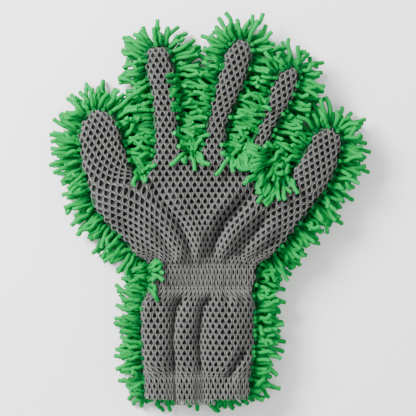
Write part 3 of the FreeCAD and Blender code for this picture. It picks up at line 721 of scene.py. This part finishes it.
def netTree():
    tree, given, out = geometryTree("meshNet", {
        "Pitch Across": ("Float", 0.0047), "Row Spacing": ("Float", 0.0035), "Columns": ("Int", 60),
        "Rows": ("Int", 80), "Rim Wide": ("Float", 0.7), "Rim Tall": ("Float", 0.9), "Hole Wide": ("Float", 0.4),
        "Hole Tall": ("Float", 0.8),
        "Teardrop": ("Float", 0.3), "Groove": ("Float", 0.0), "Rim": ("Float", 0.0), "Lip": ("Float", 0.0),
        "Wall": ("Float", 0.0), "Lift": ("Float", 0.0), "Middle": ("Vector", (0, 0, 0)), "Material": ("Material", None)})
    pitch, spacing = given["Pitch Across"], given["Row Spacing"]
    width, height = math2(tree, "MULTIPLY", given["Columns"], pitch), math2(tree, "MULTIPLY", given["Rows"], spacing)
    grid = node(tree, "GeometryNodeMeshGrid", {
        "Size X": width, "Size Y": height, "Vertices X": math2(tree, "ADD", given["Columns"], 1.0),
        "Vertices Y": math2(tree, "ADD", given["Rows"], 1.0)}).outputs[0]
    corner = node(tree, "ShaderNodeCombineXYZ", {0: math2(tree, "MULTIPLY", width, 0.5),
                                                 1: math2(tree, "MULTIPLY", height, 0.5)}).outputs[0]

    def lattice(place):
        # Row number, the row's shift, and the place measured from the lattice's corner
        split = node(tree, "ShaderNodeSeparateXYZ", {0: vector2(tree, "ADD", place, corner)}).outputs
        row = math2(tree, "ROUND", math2(tree, "DIVIDE", split[1], spacing))
        shift = math2(tree, "MULTIPLY", math2(tree, "MULTIPLY", math2(tree, "MODULO", row, 2.0), 0.5), pitch)
        return row, shift, split

    shift = lattice(node(tree, "GeometryNodeInputPosition").outputs[0])[1]
    offset = vector2(tree, "ADD", node(tree, "ShaderNodeCombineXYZ", {0: shift}).outputs[0], given["Middle"])
    staggered = node(tree, "GeometryNodeSetPosition", {"Geometry": grid, "Offset": offset}).outputs[0]
    triangles = node(tree, "GeometryNodeTriangulate", {"Mesh": staggered}).outputs[0]
    cells = node(tree, "GeometryNodeDualMesh", {"Mesh": triangles}).outputs[0]

    def onPanel(value, kind="FLOAT_VECTOR"):
        sample = node(tree, "GeometryNodeSampleUVSurface", {"Mesh": given["Geometry"]}, data_type=kind)
        link(tree, value, next(i for i in sample.inputs if i.enabled and i.name == "Value"))
        link(tree, named(tree, "flat"), sample.inputs["Source UV Map"])
        link(tree, node(tree, "GeometryNodeInputPosition").outputs[0], sample.inputs["Sample UV"])
        return sample

    valid = onPanel(node(tree, "GeometryNodeInputNormal").outputs[0]).outputs["Is Valid"]
    outside = node(tree, "FunctionNodeBooleanMath", {0: valid}, operation="NOT").outputs[0]
    made = node(tree, "GeometryNodeDeleteGeometry", {"Geometry": cells, "Selection": outside}).outputs[0]
    made = store(tree, made, "rise", given["Groove"], "FLOAT")
    noise = node(tree, "ShaderNodeTexNoise", {"Scale": 60.0}).outputs[0]
    uneven = math2(tree, "ADD", math2(tree, "MULTIPLY", noise, 0.36), 0.82)
    opening = onPanel(named(tree, "open", "FLOAT"), "FLOAT").outputs["Value"]
    last = True

    def stretched(geometry, axis, amount):
        return node(tree, "GeometryNodeScaleElements", {"Geometry": geometry, "Selection": last, "Scale": amount,
                                                        "Axis": axis}, scale_mode="SINGLE_AXIS").outputs[0]

    def ratio(a, b, times=1.0):
        return math2(tree, "MULTIPLY", math2(tree, "DIVIDE", a, b), times)

    def teardrop(geometry):
        # Narrower above each hole's middle and wider below it
        row, shift, split = lattice(vector2(tree, "SUBTRACT", node(tree, "GeometryNodeInputPosition").outputs[0],
                                            given["Middle"]))
        x = math2(tree, "SUBTRACT", split[0], shift)
        nearest = math2(tree, "MULTIPLY", math2(tree, "ROUND", math2(tree, "DIVIDE", x, pitch)), pitch)
        dy = math2(tree, "SUBTRACT", math2(tree, "DIVIDE", split[1], spacing), row)
        narrow = math2(tree, "MULTIPLY", math2(tree, "MULTIPLY", dy, -2.0), given["Teardrop"])
        narrow = math2(tree, "MULTIPLY", narrow, math2(tree, "SUBTRACT", x, nearest))
        return node(tree, "GeometryNodeSetPosition", {
            "Geometry": geometry, "Selection": last,
            "Offset": node(tree, "ShaderNodeCombineXYZ", {0: narrow}).outputs[0]}).outputs[0]

    for wide, tall, rise, isHole in (
            (given["Rim Wide"], given["Rim Tall"], given["Rim"], False),
            (ratio(given["Hole Wide"], given["Rim Wide"], uneven), ratio(0.5, given["Rim Tall"]), given["Lip"], True),
            (0.9, 0.93, given["Wall"], False)):
        ring = node(tree, "GeometryNodeExtrudeMesh", {"Mesh": made, "Selection": last, "Offset Scale": 0.0,
                                                      "Individual": True})
        last = ring.outputs["Top"]
        made = stretched(stretched(ring.outputs["Mesh"], (1, 0, 0), wide), (0, 1, 0), tall)
        if isHole:
            made = stretched(teardrop(made), (0, 1, 0), math2(tree, "MULTIPLY", given["Hole Tall"], 2.0))
            made = stretched(made, (1, 0, 0), opening)
        made = store(tree, made, "rise", rise, "FLOAT", selection=last)
    made = node(tree, "GeometryNodeDeleteGeometry", {"Geometry": made, "Selection": last},
                domain="FACE", mode="ONLY_FACE").outputs[0]
    made = store(tree, made, "flat", node(tree, "GeometryNodeInputPosition").outputs[0], "FLOAT2", "CORNER")
    spot = onPanel(node(tree, "GeometryNodeInputPosition").outputs[0]).outputs["Value"]
    up = onPanel(node(tree, "GeometryNodeInputNormal").outputs[0]).outputs["Value"]
    raised = vector2(tree, "ADD", spot, scaled(tree, up, math2(tree, "ADD", given["Lift"], named(tree, "rise", "FLOAT"))))
    laid = node(tree, "GeometryNodeSetPosition", {"Geometry": made, "Position": raised}).outputs[0]
    smooth = node(tree, "GeometryNodeSetShadeSmooth", {"Geometry": laid}).outputs[0]
    single = node(tree, "GeometryNodeRealizeInstances", {"Geometry": smooth}).outputs[0]
    link(tree, node(tree, "GeometryNodeSetMaterial", {"Geometry": single, "Material": given["Material"]}).outputs[0],
         out["Geometry"])
    return tree


def makeNet(source, tree, name):
    host = makeObject(name + "Host", source)
    low, high = flatMap.min(0), flatMap.max(0)
    middle = (low + high) / 2
    columns = int((high[0] - low[0]) / net["pitchAcross"]) + 3
    rows = int((high[1] - low[1]) / net["rowSpacing"]) + 3
    mesh = grow(host, tree, {
        "Pitch Across": net["pitchAcross"] * mm, "Row Spacing": net["rowSpacing"] * mm, "Columns": columns,
        "Rows": rows, "Rim Wide": net["rimWide"], "Rim Tall": net["rimTall"], "Hole Wide": net["holeWide"],
        "Hole Tall": net["holeTall"],
        "Teardrop": net["teardrop"], "Groove": net["groove"] * mm, "Rim": net["rim"] * mm, "Lip": net["lip"] * mm,
        "Wall": net["wall"] * mm, "Lift": net["lift"] * mm, "Middle": (middle[0] * mm, middle[1] * mm, 0.0),
        "Material": meshMaterial},
        [("SUBSURF", {"levels": 1, "render_levels": 1})])
    bpy.data.objects.remove(host)
    return mesh


netNodes = netTree()
panelPlaces = faceCentres(panelMesh)[:, :2]
panelOwner = bodyAt(*panelPlaces.T)


def withMargin(body):
    # The panel's faces on one body and a little of its neighbour, so the net runs on over the join
    if body == "palm":
        keep = panelOwner < 2
        for name, digit in digits.items():
            keep |= (panelOwner == bodyNames.index(name)) & ((panelPlaces - digit["knuckle"]) @ digit["along"] < net["margin"])
        return keep
    out = panelPlaces - digits[body]["knuckle"]
    near = (out @ digits[body]["along"] > -net["margin"]) & (np.abs(out @ digits[body]["across"]) < 3 * net["margin"])
    return (panelOwner == bodyNames.index(body)) | ((panelOwner == 0) & near)


def shortFaces(mesh, longest):
    # Which faces have no edge longer than this
    places = np.array([vertex.co for vertex in mesh.vertices]) / mm
    ends = np.array([edge.vertices[:] for edge in mesh.edges])
    short = np.linalg.norm(places[ends[:, 0]] - places[ends[:, 1]], axis=1) < longest
    loopEdges = np.zeros(len(mesh.loops), np.int32)
    mesh.loops.foreach_get("edge_index", loopEdges)
    starts = np.zeros(len(mesh.polygons), np.int32)
    mesh.polygons.foreach_get("loop_start", starts)
    return np.logical_and.reduceat(short[loopEdges], starts)


netParts = {}
for body in ["palm"] + list(digits):
    laid = makeNet(keepFaces(panelMesh, "netBase", withMargin(body)), netNodes, "net")
    laid = keepFaces(laid, "net", shortFaces(laid, net["longest"]))
    for name, piece in splitByBody(laid, "backMesh").items():
        if name == body or (body == "palm" and name == "cuff"):
            netParts[name] = piece
            print("net on", name, len(piece.data.polygons), "faces")
        else:
            bpy.data.objects.remove(piece)
for body in bodyNames:
    netParts[body].name = f"backMesh_{body}"
    follow(netParts[body], body, "grey_mesh", f"back_mesh_{body}")

# ---- the spacer's inner face, a dense knit just under the net; its near-black colour is painted shade seen through the holes
inner = {"depth": 2.1, "short": 2.5}
normals = np.zeros(len(panelMesh.vertices) * 3)
panelMesh.vertices.foreach_get("normal", normals)
deep = np.column_stack((panelX, panelY, backHeight(panelX, panelY))) - normals.reshape(-1, 3) * inner["depth"]
innerMesh = makeMesh("spacerInner", deep, panelFaces)
addFlatMap(innerMesh, flatMap)
innerMesh.materials.append(innerMaterial)
innerMesh.shade_smooth()
innerPlaces = faceCentres(innerMesh)
innerInside = insideLoop(innerPlaces[:, 0], innerPlaces[:, 1] - inner["short"], seamLoop)
innerMesh = keepFaces(innerMesh, "spacerInner", innerInside)
innerParts = splitByBody(innerMesh, "spacerInner")
for body, piece in innerParts.items():
    follow(piece, body, "grey_mesh")

# ---- the chenille cloth: a pillow under the panel and a narrow lip up to the seam
clothPoints, clothFaces = fillCut(clothLoop, 2.4)


def combAt(x, y, z):
    # Which way the noodles lie: outwards near the edges, any way under the palm
    step = 2.5
    gx = clothField.at(x + step, y) - clothField.at(x - step, y)
    gy = clothField.at(x, y + step) - clothField.at(x, y - step)
    size = np.maximum(np.hypot(gx, gy), 0.4)
    edge = np.exp(-clothField.at(x, y) / 26)
    atMouth = smoothStep(-118, -134, y)
    return np.column_stack((-gx / size * edge, -gy / size * edge - 0.5 * atMouth, (z - 16.5) / 13))


def lengthAt(y):
    # The noodles are shorter where the hem ends
    return 1 - 0.42 * smoothStep(-122, -134, y)


def addComb(mesh, comb, long=1.0):
    layer = mesh.attributes.new("comb", "FLOAT_VECTOR", "POINT")
    layer.data.foreach_set("vector", np.asarray(comb, np.float32).ravel())
    addFloat(mesh, "long", np.ones(len(mesh.vertices)) * long)


clothZ = clothHeight(clothPoints[:, 0], clothPoints[:, 1])
rim = np.column_stack((sideCut, np.full(len(sideCut), pouch["seamZ"] - 1.4)))
outer = np.column_stack((clothSides, np.full(len(clothSides), pouch["clothZ"])))
vertices = np.vstack((np.column_stack((clothPoints, clothZ)), rim, outer))
base, count = len(clothPoints), len(sideCut)
lip = [(base + i, base + i + 1, base + count + i + 1, base + count + i) for i in range(count - 1)]
clothMesh = makeMesh("chenilleCloth", vertices, [tuple(reversed(f)) for f in clothFaces] + [f[::-1] for f in lip])
lipComb = np.column_stack((outwardNormals(sideCut, closed=False), np.full(count, 0.75)))
addComb(clothMesh, np.vstack((combAt(clothPoints[:, 0], clothPoints[:, 1], clothZ), lipComb, lipComb)),
        lengthAt(vertices[:, 1]))
clothMesh.materials.append(backingMaterial)
clothMesh.shade_smooth()
clothParts = splitByBody(clothMesh, "chenilleCloth")
sideCloth = {"palm": ("side_cloth_palm",), "cuff": ("side_cloth_cuff",)}
for body, piece in clothParts.items():
    follow(piece, body, "green_cloth", f"chenille_cloth_{body}", *sideCloth.get(body, ()))
print("chenille cloth made")

# ---- the pile: curved chenille noodles rooted all over the cloth
pile = {"spacing": 2.45, "length": 17.0, "lengthSpread": 2.5, "thickness": 3.15, "spread": 0.34,
        "bend": 5.0, "droop": 6.5, "floor": 0.3, "wiggle": 1.3, "overMesh": 21.0, "tuftSpacing": 2.7, "tuftSpread": 0.75,
        # where noodles fold over the mesh: place, direction, half size, length
        "tufts": [((-46.5, 27.5), (0.2, -0.98), (4, 2.5), 0.45), ((-10, 41), (0.1, -1), (7, 3), 0.6),
                  ((20.5, 40), (-0.2, -1), (6, 3), 0.62), ((46, 25), (-0.55, -0.85), (10, 7), 0.85),
                  ((40, 36), (-0.8, -0.55), (9, 5), 0.8), ((54, 29), (-0.35, -0.92), (7, 7), 0.75),
                  ((50, 42), (-0.7, -0.65), (6, 6), 0.6), ((26, 48), (-0.25, -0.95), (4, 6), 0.8),
                  ((-41, -47), (0.98, -0.1), (8, 1.2), 0.5), ((-25.5, 84), (1, 0.2), (12, 1.5), 0.4)],
        "seed": 7}


def noodleTree():
    tree, given, out = geometryTree("chenilleNoodles", {
        "Spacing": ("Float", 0.0036), "Length": ("Float", 0.02), "Length Spread": ("Float", 0.003),
        "Thickness": ("Float", 0.0024), "Spread": ("Float", 0.4), "Bend": ("Float", 0.006), "Wiggle": ("Float", 0.001),
        "Droop": ("Float", 0.006), "Floor": ("Float", 0.0), "Over Mesh": ("Float", 0.021), "Panel": ("Object", None), "Seed": ("Int", 1),
        "Material": ("Material", None)})
    points = node(tree, "GeometryNodeDistributePointsOnFaces",
                  {"Mesh": given["Geometry"], "Distance Min": given["Spacing"], "Density Max": 400000.0,
                   "Seed": given["Seed"]}, distribute_method="POISSON").outputs["Points"]

    def random(kind, low, high, offset):
        made = node(tree, "FunctionNodeRandomValue", data_type=kind)
        for label, value in (("Min", low), ("Max", high)):
            socket = next(i for i in made.inputs if i.enabled and i.name == label)
            if isinstance(value, bpy.types.NodeSocket):
                link(tree, value, socket)
            else:
                socket.default_value = value
        link(tree, math2(tree, "ADD", given["Seed"], float(offset)), made.inputs["Seed"])
        return next(o for o in made.outputs if o.enabled)

    stray = scaled(tree, random("FLOAT_VECTOR", (-1, -1, -1), (1, 1, 1), 11), given["Spread"])
    lay = vector2(tree, "NORMALIZE", vector2(tree, "ADD", named(tree, "comb"), stray))
    shortest = math2(tree, "SUBTRACT", given["Length"], given["Length Spread"])
    longest = math2(tree, "ADD", given["Length"], given["Length Spread"])
    reach = scaled(tree, lay, math2(tree, "MULTIPLY", random("FLOAT", shortest, longest, 12), named(tree, "long", "FLOAT")))
    curl = scaled(tree, random("FLOAT_VECTOR", (-1, -1, -0.7), (1, 1, 0.7), 13), given["Bend"])
    points = store(tree, points, "root", node(tree, "GeometryNodeInputPosition").outputs[0])
    points = store(tree, points, "reach", reach)
    points = store(tree, points, "curl", curl)
    points = store(tree, points, "tone", random("FLOAT", 0.0, 1.0, 14), "FLOAT")
    points = store(tree, points, "sway", scaled(tree, random("FLOAT_VECTOR", (-1, -1, -0.6), (1, 1, 0.6), 15), given["Wiggle"]))
    points = store(tree, points, "phase", random("FLOAT", 0.0, 6.3, 16), "FLOAT")
    line = node(tree, "GeometryNodeCurvePrimitiveLine").outputs[0]
    line = node(tree, "GeometryNodeResampleCurve", {"Curve": line, "Count": 12}).outputs[0]
    strands = node(tree, "GeometryNodeInstanceOnPoints", {"Points": points, "Instance": line}).outputs[0]
    strands = node(tree, "GeometryNodeRealizeInstances", {"Geometry": strands}).outputs[0]
    t = node(tree, "GeometryNodeSplineParameter").outputs["Factor"]
    squared = math2(tree, "MULTIPLY", t, t)
    spot = vector2(tree, "ADD", named(tree, "root"), scaled(tree, named(tree, "reach"), t))
    spot = vector2(tree, "ADD", spot, scaled(tree, named(tree, "curl"), squared))
    turn = math2(tree, "ADD", math2(tree, "MULTIPLY", t, 8.5), named(tree, "phase", "FLOAT"))
    swing = math2(tree, "MULTIPLY", math2(tree, "SINE", turn), math2(tree, "SQRT", t))
    spot = vector2(tree, "ADD", spot, scaled(tree, named(tree, "sway"), swing))
    fall = math2(tree, "MULTIPLY", squared, math2(tree, "MULTIPLY", given["Droop"], -1.0))
    spot = vector2(tree, "ADD", spot, node(tree, "ShaderNodeCombineXYZ", {2: fall}).outputs[0])
    split = node(tree, "ShaderNodeSeparateXYZ", {0: spot}).outputs
    radius = math2(tree, "MULTIPLY", given["Thickness"], 0.5)
    low = math2(tree, "ADD", radius, given["Floor"])
    # noodles from the seam's lip lie on top of the mesh where they cross it
    above = node(tree, "ShaderNodeCombineXYZ", {0: split[0], 1: split[1], 2: 0.2}).outputs[0]
    panel = node(tree, "GeometryNodeObjectInfo", {"Object": given["Panel"]}).outputs["Geometry"]
    cast = node(tree, "GeometryNodeRaycast", {"Target Geometry": panel, "Source Position": above,
                                              "Ray Direction": (0, 0, -1), "Ray Length": 1.0})
    hitZ = node(tree, "ShaderNodeSeparateXYZ", {0: cast.outputs["Hit Position"]}).outputs[2]
    layer = math2(tree, "ADD", math2(tree, "MULTIPLY", named(tree, "tone", "FLOAT"), 2.2), 1.6)
    hitZ = math2(tree, "ADD", hitZ, math2(tree, "MULTIPLY", radius, layer))
    rootZ = node(tree, "ShaderNodeSeparateXYZ", {0: named(tree, "root")}).outputs[2]
    fromLip = math2(tree, "GREATER_THAN", rootZ, given["Over Mesh"])
    onTop = math2(tree, "MULTIPLY", fromLip, cast.outputs["Is Hit"])
    floorZ = math2(tree, "MAXIMUM", low, math2(tree, "MULTIPLY", hitZ, onTop))
    z = node(tree, "ShaderNodeMath", {0: split[2], 1: floorZ, 2: 0.0022}, operation="SMOOTH_MAX").outputs[0]
    spot = node(tree, "ShaderNodeCombineXYZ", {0: split[0], 1: split[1], 2: z}).outputs[0]
    strands = node(tree, "GeometryNodeSetPosition", {"Geometry": strands, "Position": spot}).outputs[0]
    strands = store(tree, strands, "along", t, "FLOAT")
    lumps = node(tree, "ShaderNodeTexNoise", {"Scale": 420.0, "Detail": 1.0}).outputs[0]
    lumps = math2(tree, "ADD", math2(tree, "MULTIPLY", lumps, 0.5), 0.75)
    tip = math2(tree, "SQRT", math2(tree, "MULTIPLY", math2(tree, "SUBTRACT", 1.03, t), 7.0, clamp=True))
    strands = node(tree, "GeometryNodeSetCurveRadius",
                   {"Curve": strands, "Radius": math2(tree, "MULTIPLY", lumps, tip)}).outputs[0]
    ring = node(tree, "GeometryNodeCurvePrimitiveCircle", {"Resolution": 6, "Radius": radius}).outputs[0]
    tubes = node(tree, "GeometryNodeCurveToMesh", {"Curve": strands, "Profile Curve": ring, "Fill Caps": True}).outputs[0]
    tubes = node(tree, "GeometryNodeSetShadeSmooth", {"Geometry": tubes}).outputs[0]
    tubes = node(tree, "GeometryNodeRealizeInstances", {"Geometry": tubes}).outputs[0]
    link(tree, node(tree, "GeometryNodeSetMaterial", {"Geometry": tubes, "Material": given["Material"]}).outputs[0],
         out["Geometry"])
    return tree


def tuftMesh():
    vertices, faces, comb, long = [], [], [], []
    for (x, y), (dx, dy), (across, deep), length in pile["tufts"]:
        start = len(vertices)
        side = np.array((dy, -dx))
        for a, b in ((-1, -1), (1, -1), (1, 1), (-1, 1)):
            spot = np.array((x, y)) + side * a * across - np.array((dx, dy)) * b * deep
            vertices.append((*spot, pouch["seamZ"] + 3 + 2 * b))
            comb.append((*(np.array((dx, dy)) + side * a * 0.55), 0.6))
            long.append(length)
        faces.append(tuple(range(start, start + 4)))
    mesh = makeMesh("tufts", vertices, faces)
    addComb(mesh, comb, long)
    return mesh


panelHost = makeObject("panelHost", panelMesh)
noodles = noodleTree()


def growPile(source, name, seed, spacing, spread=pile["spread"]):
    host = makeObject(name + "Host", source)
    mesh = grow(host, noodles, {
        "Spacing": spacing * mm, "Length": pile["length"] * mm, "Length Spread": pile["lengthSpread"] * mm,
        "Thickness": pile["thickness"] * mm, "Spread": spread, "Bend": pile["bend"] * mm, "Wiggle": pile["wiggle"] * mm,
        "Droop": pile["droop"] * mm, "Floor": pile["floor"] * mm, "Over Mesh": pile["overMesh"] * mm, "Panel": panelHost, "Seed": seed,
        "Material": chenilleMaterial})
    bpy.data.objects.remove(host)
    mesh.name = name
    return makeObject(name, mesh)


sidePile = {"palm": ("side_pile_palm",), "cuff": ("side_pile_cuff",)}
for i, (body, part) in enumerate(clothParts.items()):
    piece = growPile(part.data, f"noodles_{body}", pile["seed"] + i, pile["spacing"])
    follow(piece, body, "green_chenille", f"pile_{body}", *sidePile.get(body, ()))
    print("pile on", body, len(piece.data.polygons), "faces")
for i, (body, part) in enumerate(splitByBody(tuftMesh(), "tuftBase").items()):
    follow(growPile(part.data, f"tufts_{body}", pile["seed"] + 20 + i, pile["tuftSpacing"], pile["tuftSpread"]),
           body, "green_chenille")
    bpy.data.objects.remove(part)
bpy.data.objects.remove(panelHost)

# ---- the seam's rolled edge all round the cut
seam = {"radius": 0.9, "sides": 8, "below": 1.2}


def tubeAlong(name, path, radius, sides):
    tangent = np.gradient(path, axis=0)
    tangent /= np.linalg.norm(tangent, axis=1, keepdims=True)
    side = np.cross(tangent, (0, 0, 1.0))
    side /= np.linalg.norm(side, axis=1, keepdims=True)
    up = np.cross(side, tangent)
    turns = np.arange(sides) * 2 * math.pi / sides
    rings = path[:, None] + radius * (side[:, None] * np.cos(turns)[:, None] + up[:, None] * np.sin(turns)[:, None])
    faces = [(i * sides + j, i * sides + (j + 1) % sides, (i + 1) * sides + (j + 1) % sides, (i + 1) * sides + j)
             for i in range(len(path) - 1) for j in range(sides)]
    last = (len(path) - 1) * sides
    faces += [tuple(range(sides))[::-1], tuple(range(last, last + sides))]
    return makeMesh(name, rings.reshape(-1, 3), faces)


seamPath = smoothLoop(sideCut, 2, closed=False)
ripple = 0.25 * np.sin(np.arange(len(seamPath)) * 1.9)
seamPath = np.column_stack((seamPath, pouch["seamZ"] - seam["below"] + ripple))
seamMesh = tubeAlong("seamEdge", seamPath, seam["radius"], seam["sides"])
seamMesh.materials.append(seamMaterial)
seamMesh.shade_smooth()
seamParts = splitByBody(seamMesh, "seamEdge")
for body, piece in seamParts.items():
    follow(piece, body, "seam_thread", f"seam_{body}")

# ---- stitches along the gathered rows
stitch = {"pitch": 2.3, "length": 1.7, "thickness": 0.55, "lift": 1.15}


def stitchTree():
    tree, given, out = geometryTree("stitchRow", {
        "Pitch": ("Float", 0.003), "Length": ("Float", 0.002), "Thickness": ("Float", 0.0005), "Material": ("Material", None)})
    curve = node(tree, "GeometryNodeMeshToCurve", {"Mesh": given["Geometry"]}).outputs[0]
    spots = node(tree, "GeometryNodeCurveToPoints", {"Curve": curve, "Length": given["Pitch"]}, mode="LENGTH")
    size = node(tree, "ShaderNodeCombineXYZ", {0: given["Thickness"], 1: given["Thickness"], 2: given["Length"]}).outputs[0]
    bead = node(tree, "GeometryNodeMeshUVSphere", {"Segments": 6, "Rings": 5, "Radius": 0.5}).outputs[0]
    turn = node(tree, "FunctionNodeAlignRotationToVector", {"Vector": spots.outputs["Tangent"]}, axis="Z").outputs[0]
    placed = node(tree, "GeometryNodeInstanceOnPoints", {"Points": spots.outputs[0], "Instance": bead,
                                                         "Rotation": turn, "Scale": size}).outputs[0]
    single = node(tree, "GeometryNodeRealizeInstances", {"Geometry": placed}).outputs[0]
    smooth = node(tree, "GeometryNodeSetShadeSmooth", {"Geometry": single}).outputs[0]
    link(tree, node(tree, "GeometryNodeSetMaterial", {"Geometry": smooth, "Material": given["Material"]}).outputs[0],
         out["Geometry"])
    return tree


def stitchRows(name, tree, rows):
    points, edges = [], []
    for y in rows:
        inside = insideLoop(np.arange(-90, 90, 0.8), np.full(225, float(y)), seamLoop)
        xs = np.arange(-90, 90, 0.8)[inside][2:-2]
        start = len(points)
        points += list(np.column_stack((xs, np.full(len(xs), y), backHeight(xs, np.full(len(xs), float(y))) + stitch["lift"])))
        edges += [(i, i + 1) for i in range(start, len(points) - 1)]
    host = makeObject(name + "Host", makeMesh(name, points, [], edges))
    mesh = grow(host, tree, {"Pitch": stitch["pitch"] * mm, "Length": stitch["length"] * mm,
                             "Thickness": stitch["thickness"] * mm, "Material": threadMaterial})
    bpy.data.objects.remove(host)
    return makeObject(name, mesh)


stitching = stitchTree()
stitchParts = {"palm": stitchRows("wristStitches", stitching, folds["rows"][:2]),
               "cuff": stitchRows("hemStitches", stitching, folds["rows"][2:])}
follow(stitchParts["palm"], "palm", "stitching", "wrist_stitching")
follow(stitchParts["cuff"], "cuff", "stitching", "hem_stitching")

# ---- the two elastic bands inside, ribbed along their length
elastic = {"ribs": 0.25, "ribPitch": 1.6, "inset": 2.2, "thickness": 0.9, "under": 2.6}


def elasticBand(name, top, bottom):
    ys = np.arange(bottom, top + 0.01, 0.8)
    rings = []
    for y in ys:
        xs = np.linspace(-80, 80, 800)
        inside = xs[insideLoop(xs, np.full(800, float(y)), seamLoop)]
        left, right = inside[0] + elastic["inset"], inside[-1] - elastic["inset"]
        across = (left + right) / 2 - (right - left) / 2 * np.cos(np.linspace(0, math.pi, 48))
        flat = np.full(48, float(y))
        over = backHeight(across, flat) - elastic["under"]
        under = clothHeight(across, flat) + 1.2
        middle = (over[[0, -1]] + under[[0, -1]]) / 2
        over[[0, -1]], under[[0, -1]] = middle + 1.5, middle - 1.5
        rib = elastic["ribs"] * math.sin(y * 2 * math.pi / elastic["ribPitch"])
        rings.append(np.vstack((np.column_stack((across, flat, over - rib)),
                                np.column_stack((across, flat, under + rib))[::-1])))
    around = len(rings[0])
    faces = [(i * around + j, i * around + (j + 1) % around, (i + 1) * around + (j + 1) % around, (i + 1) * around + j)
             for i in range(len(ys) - 1) for j in range(around)]
    thing = makeObject(name, makeMesh(name, np.vstack(rings), faces))
    thing.data.materials.append(elasticMaterial)
    thing.data.shade_smooth()
    thick = thing.modifiers.new("thick", "SOLIDIFY")
    thick.thickness, thick.offset = elastic["thickness"] * mm, -1.0
    return thing


wristBand = elasticBand("wristElastic", -37.5, -56)
follow(wristBand, "palm", "elastic", "wrist_elastic")
hemBand = elasticBand("hemElastic", -121, -131)
follow(hemBand, "cuff", "elastic", "cuff_elastic")
print("seam, stitches and elastics made")


clothOwner = bodyAt(*np.array([clothPoints[list(f)].mean(0) for f in clothFaces]).T)

# ---- floor, light and camera
stage = {"width": 0.2995, "lens": 150.0, "centre": (0.0011, 0.0018), "plane": 0.03,
         "floor": (0.94, 0.94, 0.94), "keyPower": 42.0, "fillPower": 3.0, "world": 1.12}
floorMaterial, tree, shader = newMaterial("paleFloor", 0.9)
speck = node(tree, "ShaderNodeTexNoise", {"Scale": 30.0}).outputs[0]
link(tree, mixColor(tree, speck, (*stage["floor"], 1), tuple(v * 0.985 for v in stage["floor"]) + (1,)),
     shader.inputs["Base Color"])
floor = makeObject("floor", makeMesh("floor", [(-1500, -1500, 0), (1500, -1500, 0), (1500, 1500, 0), (-1500, 1500, 0)],
                                     [(0, 1, 2, 3)]))
floor.data.materials.append(floorMaterial)


def areaLight(name, place, size, power):
    light = bpy.data.lights.new(name, "AREA")
    light.energy, light.size = power, size
    thing = bpy.data.objects.new(name, light)
    thing.location = place
    thing.rotation_euler = Vector(place).to_track_quat("Z", "Y").to_euler()
    bpy.context.scene.collection.objects.link(thing)


areaLight("key", (-0.7, 0.5, 0.8), 0.5, stage["keyPower"])
areaLight("fill", (0.7, -0.2, 0.9), 0.9, stage["fillPower"])
world = bpy.data.worlds.new("studio")
world.use_nodes = True
world.node_tree.nodes["Background"].inputs[0].default_value = (1, 1, 1, 1)
world.node_tree.nodes["Background"].inputs[1].default_value = stage["world"]
bpy.context.scene.world = world

camera = bpy.data.cameras.new("camera")
cameraObject = bpy.data.objects.new("camera", camera)
bpy.context.scene.collection.objects.link(cameraObject)
camera.lens = stage["lens"]
camera.sensor_width = 36.0
distance = stage["width"] * stage["lens"] / 36.0
cameraObject.location = (*stage["centre"], stage["plane"] + distance)
bpy.context.scene.camera = cameraObject

print("all pieces made")
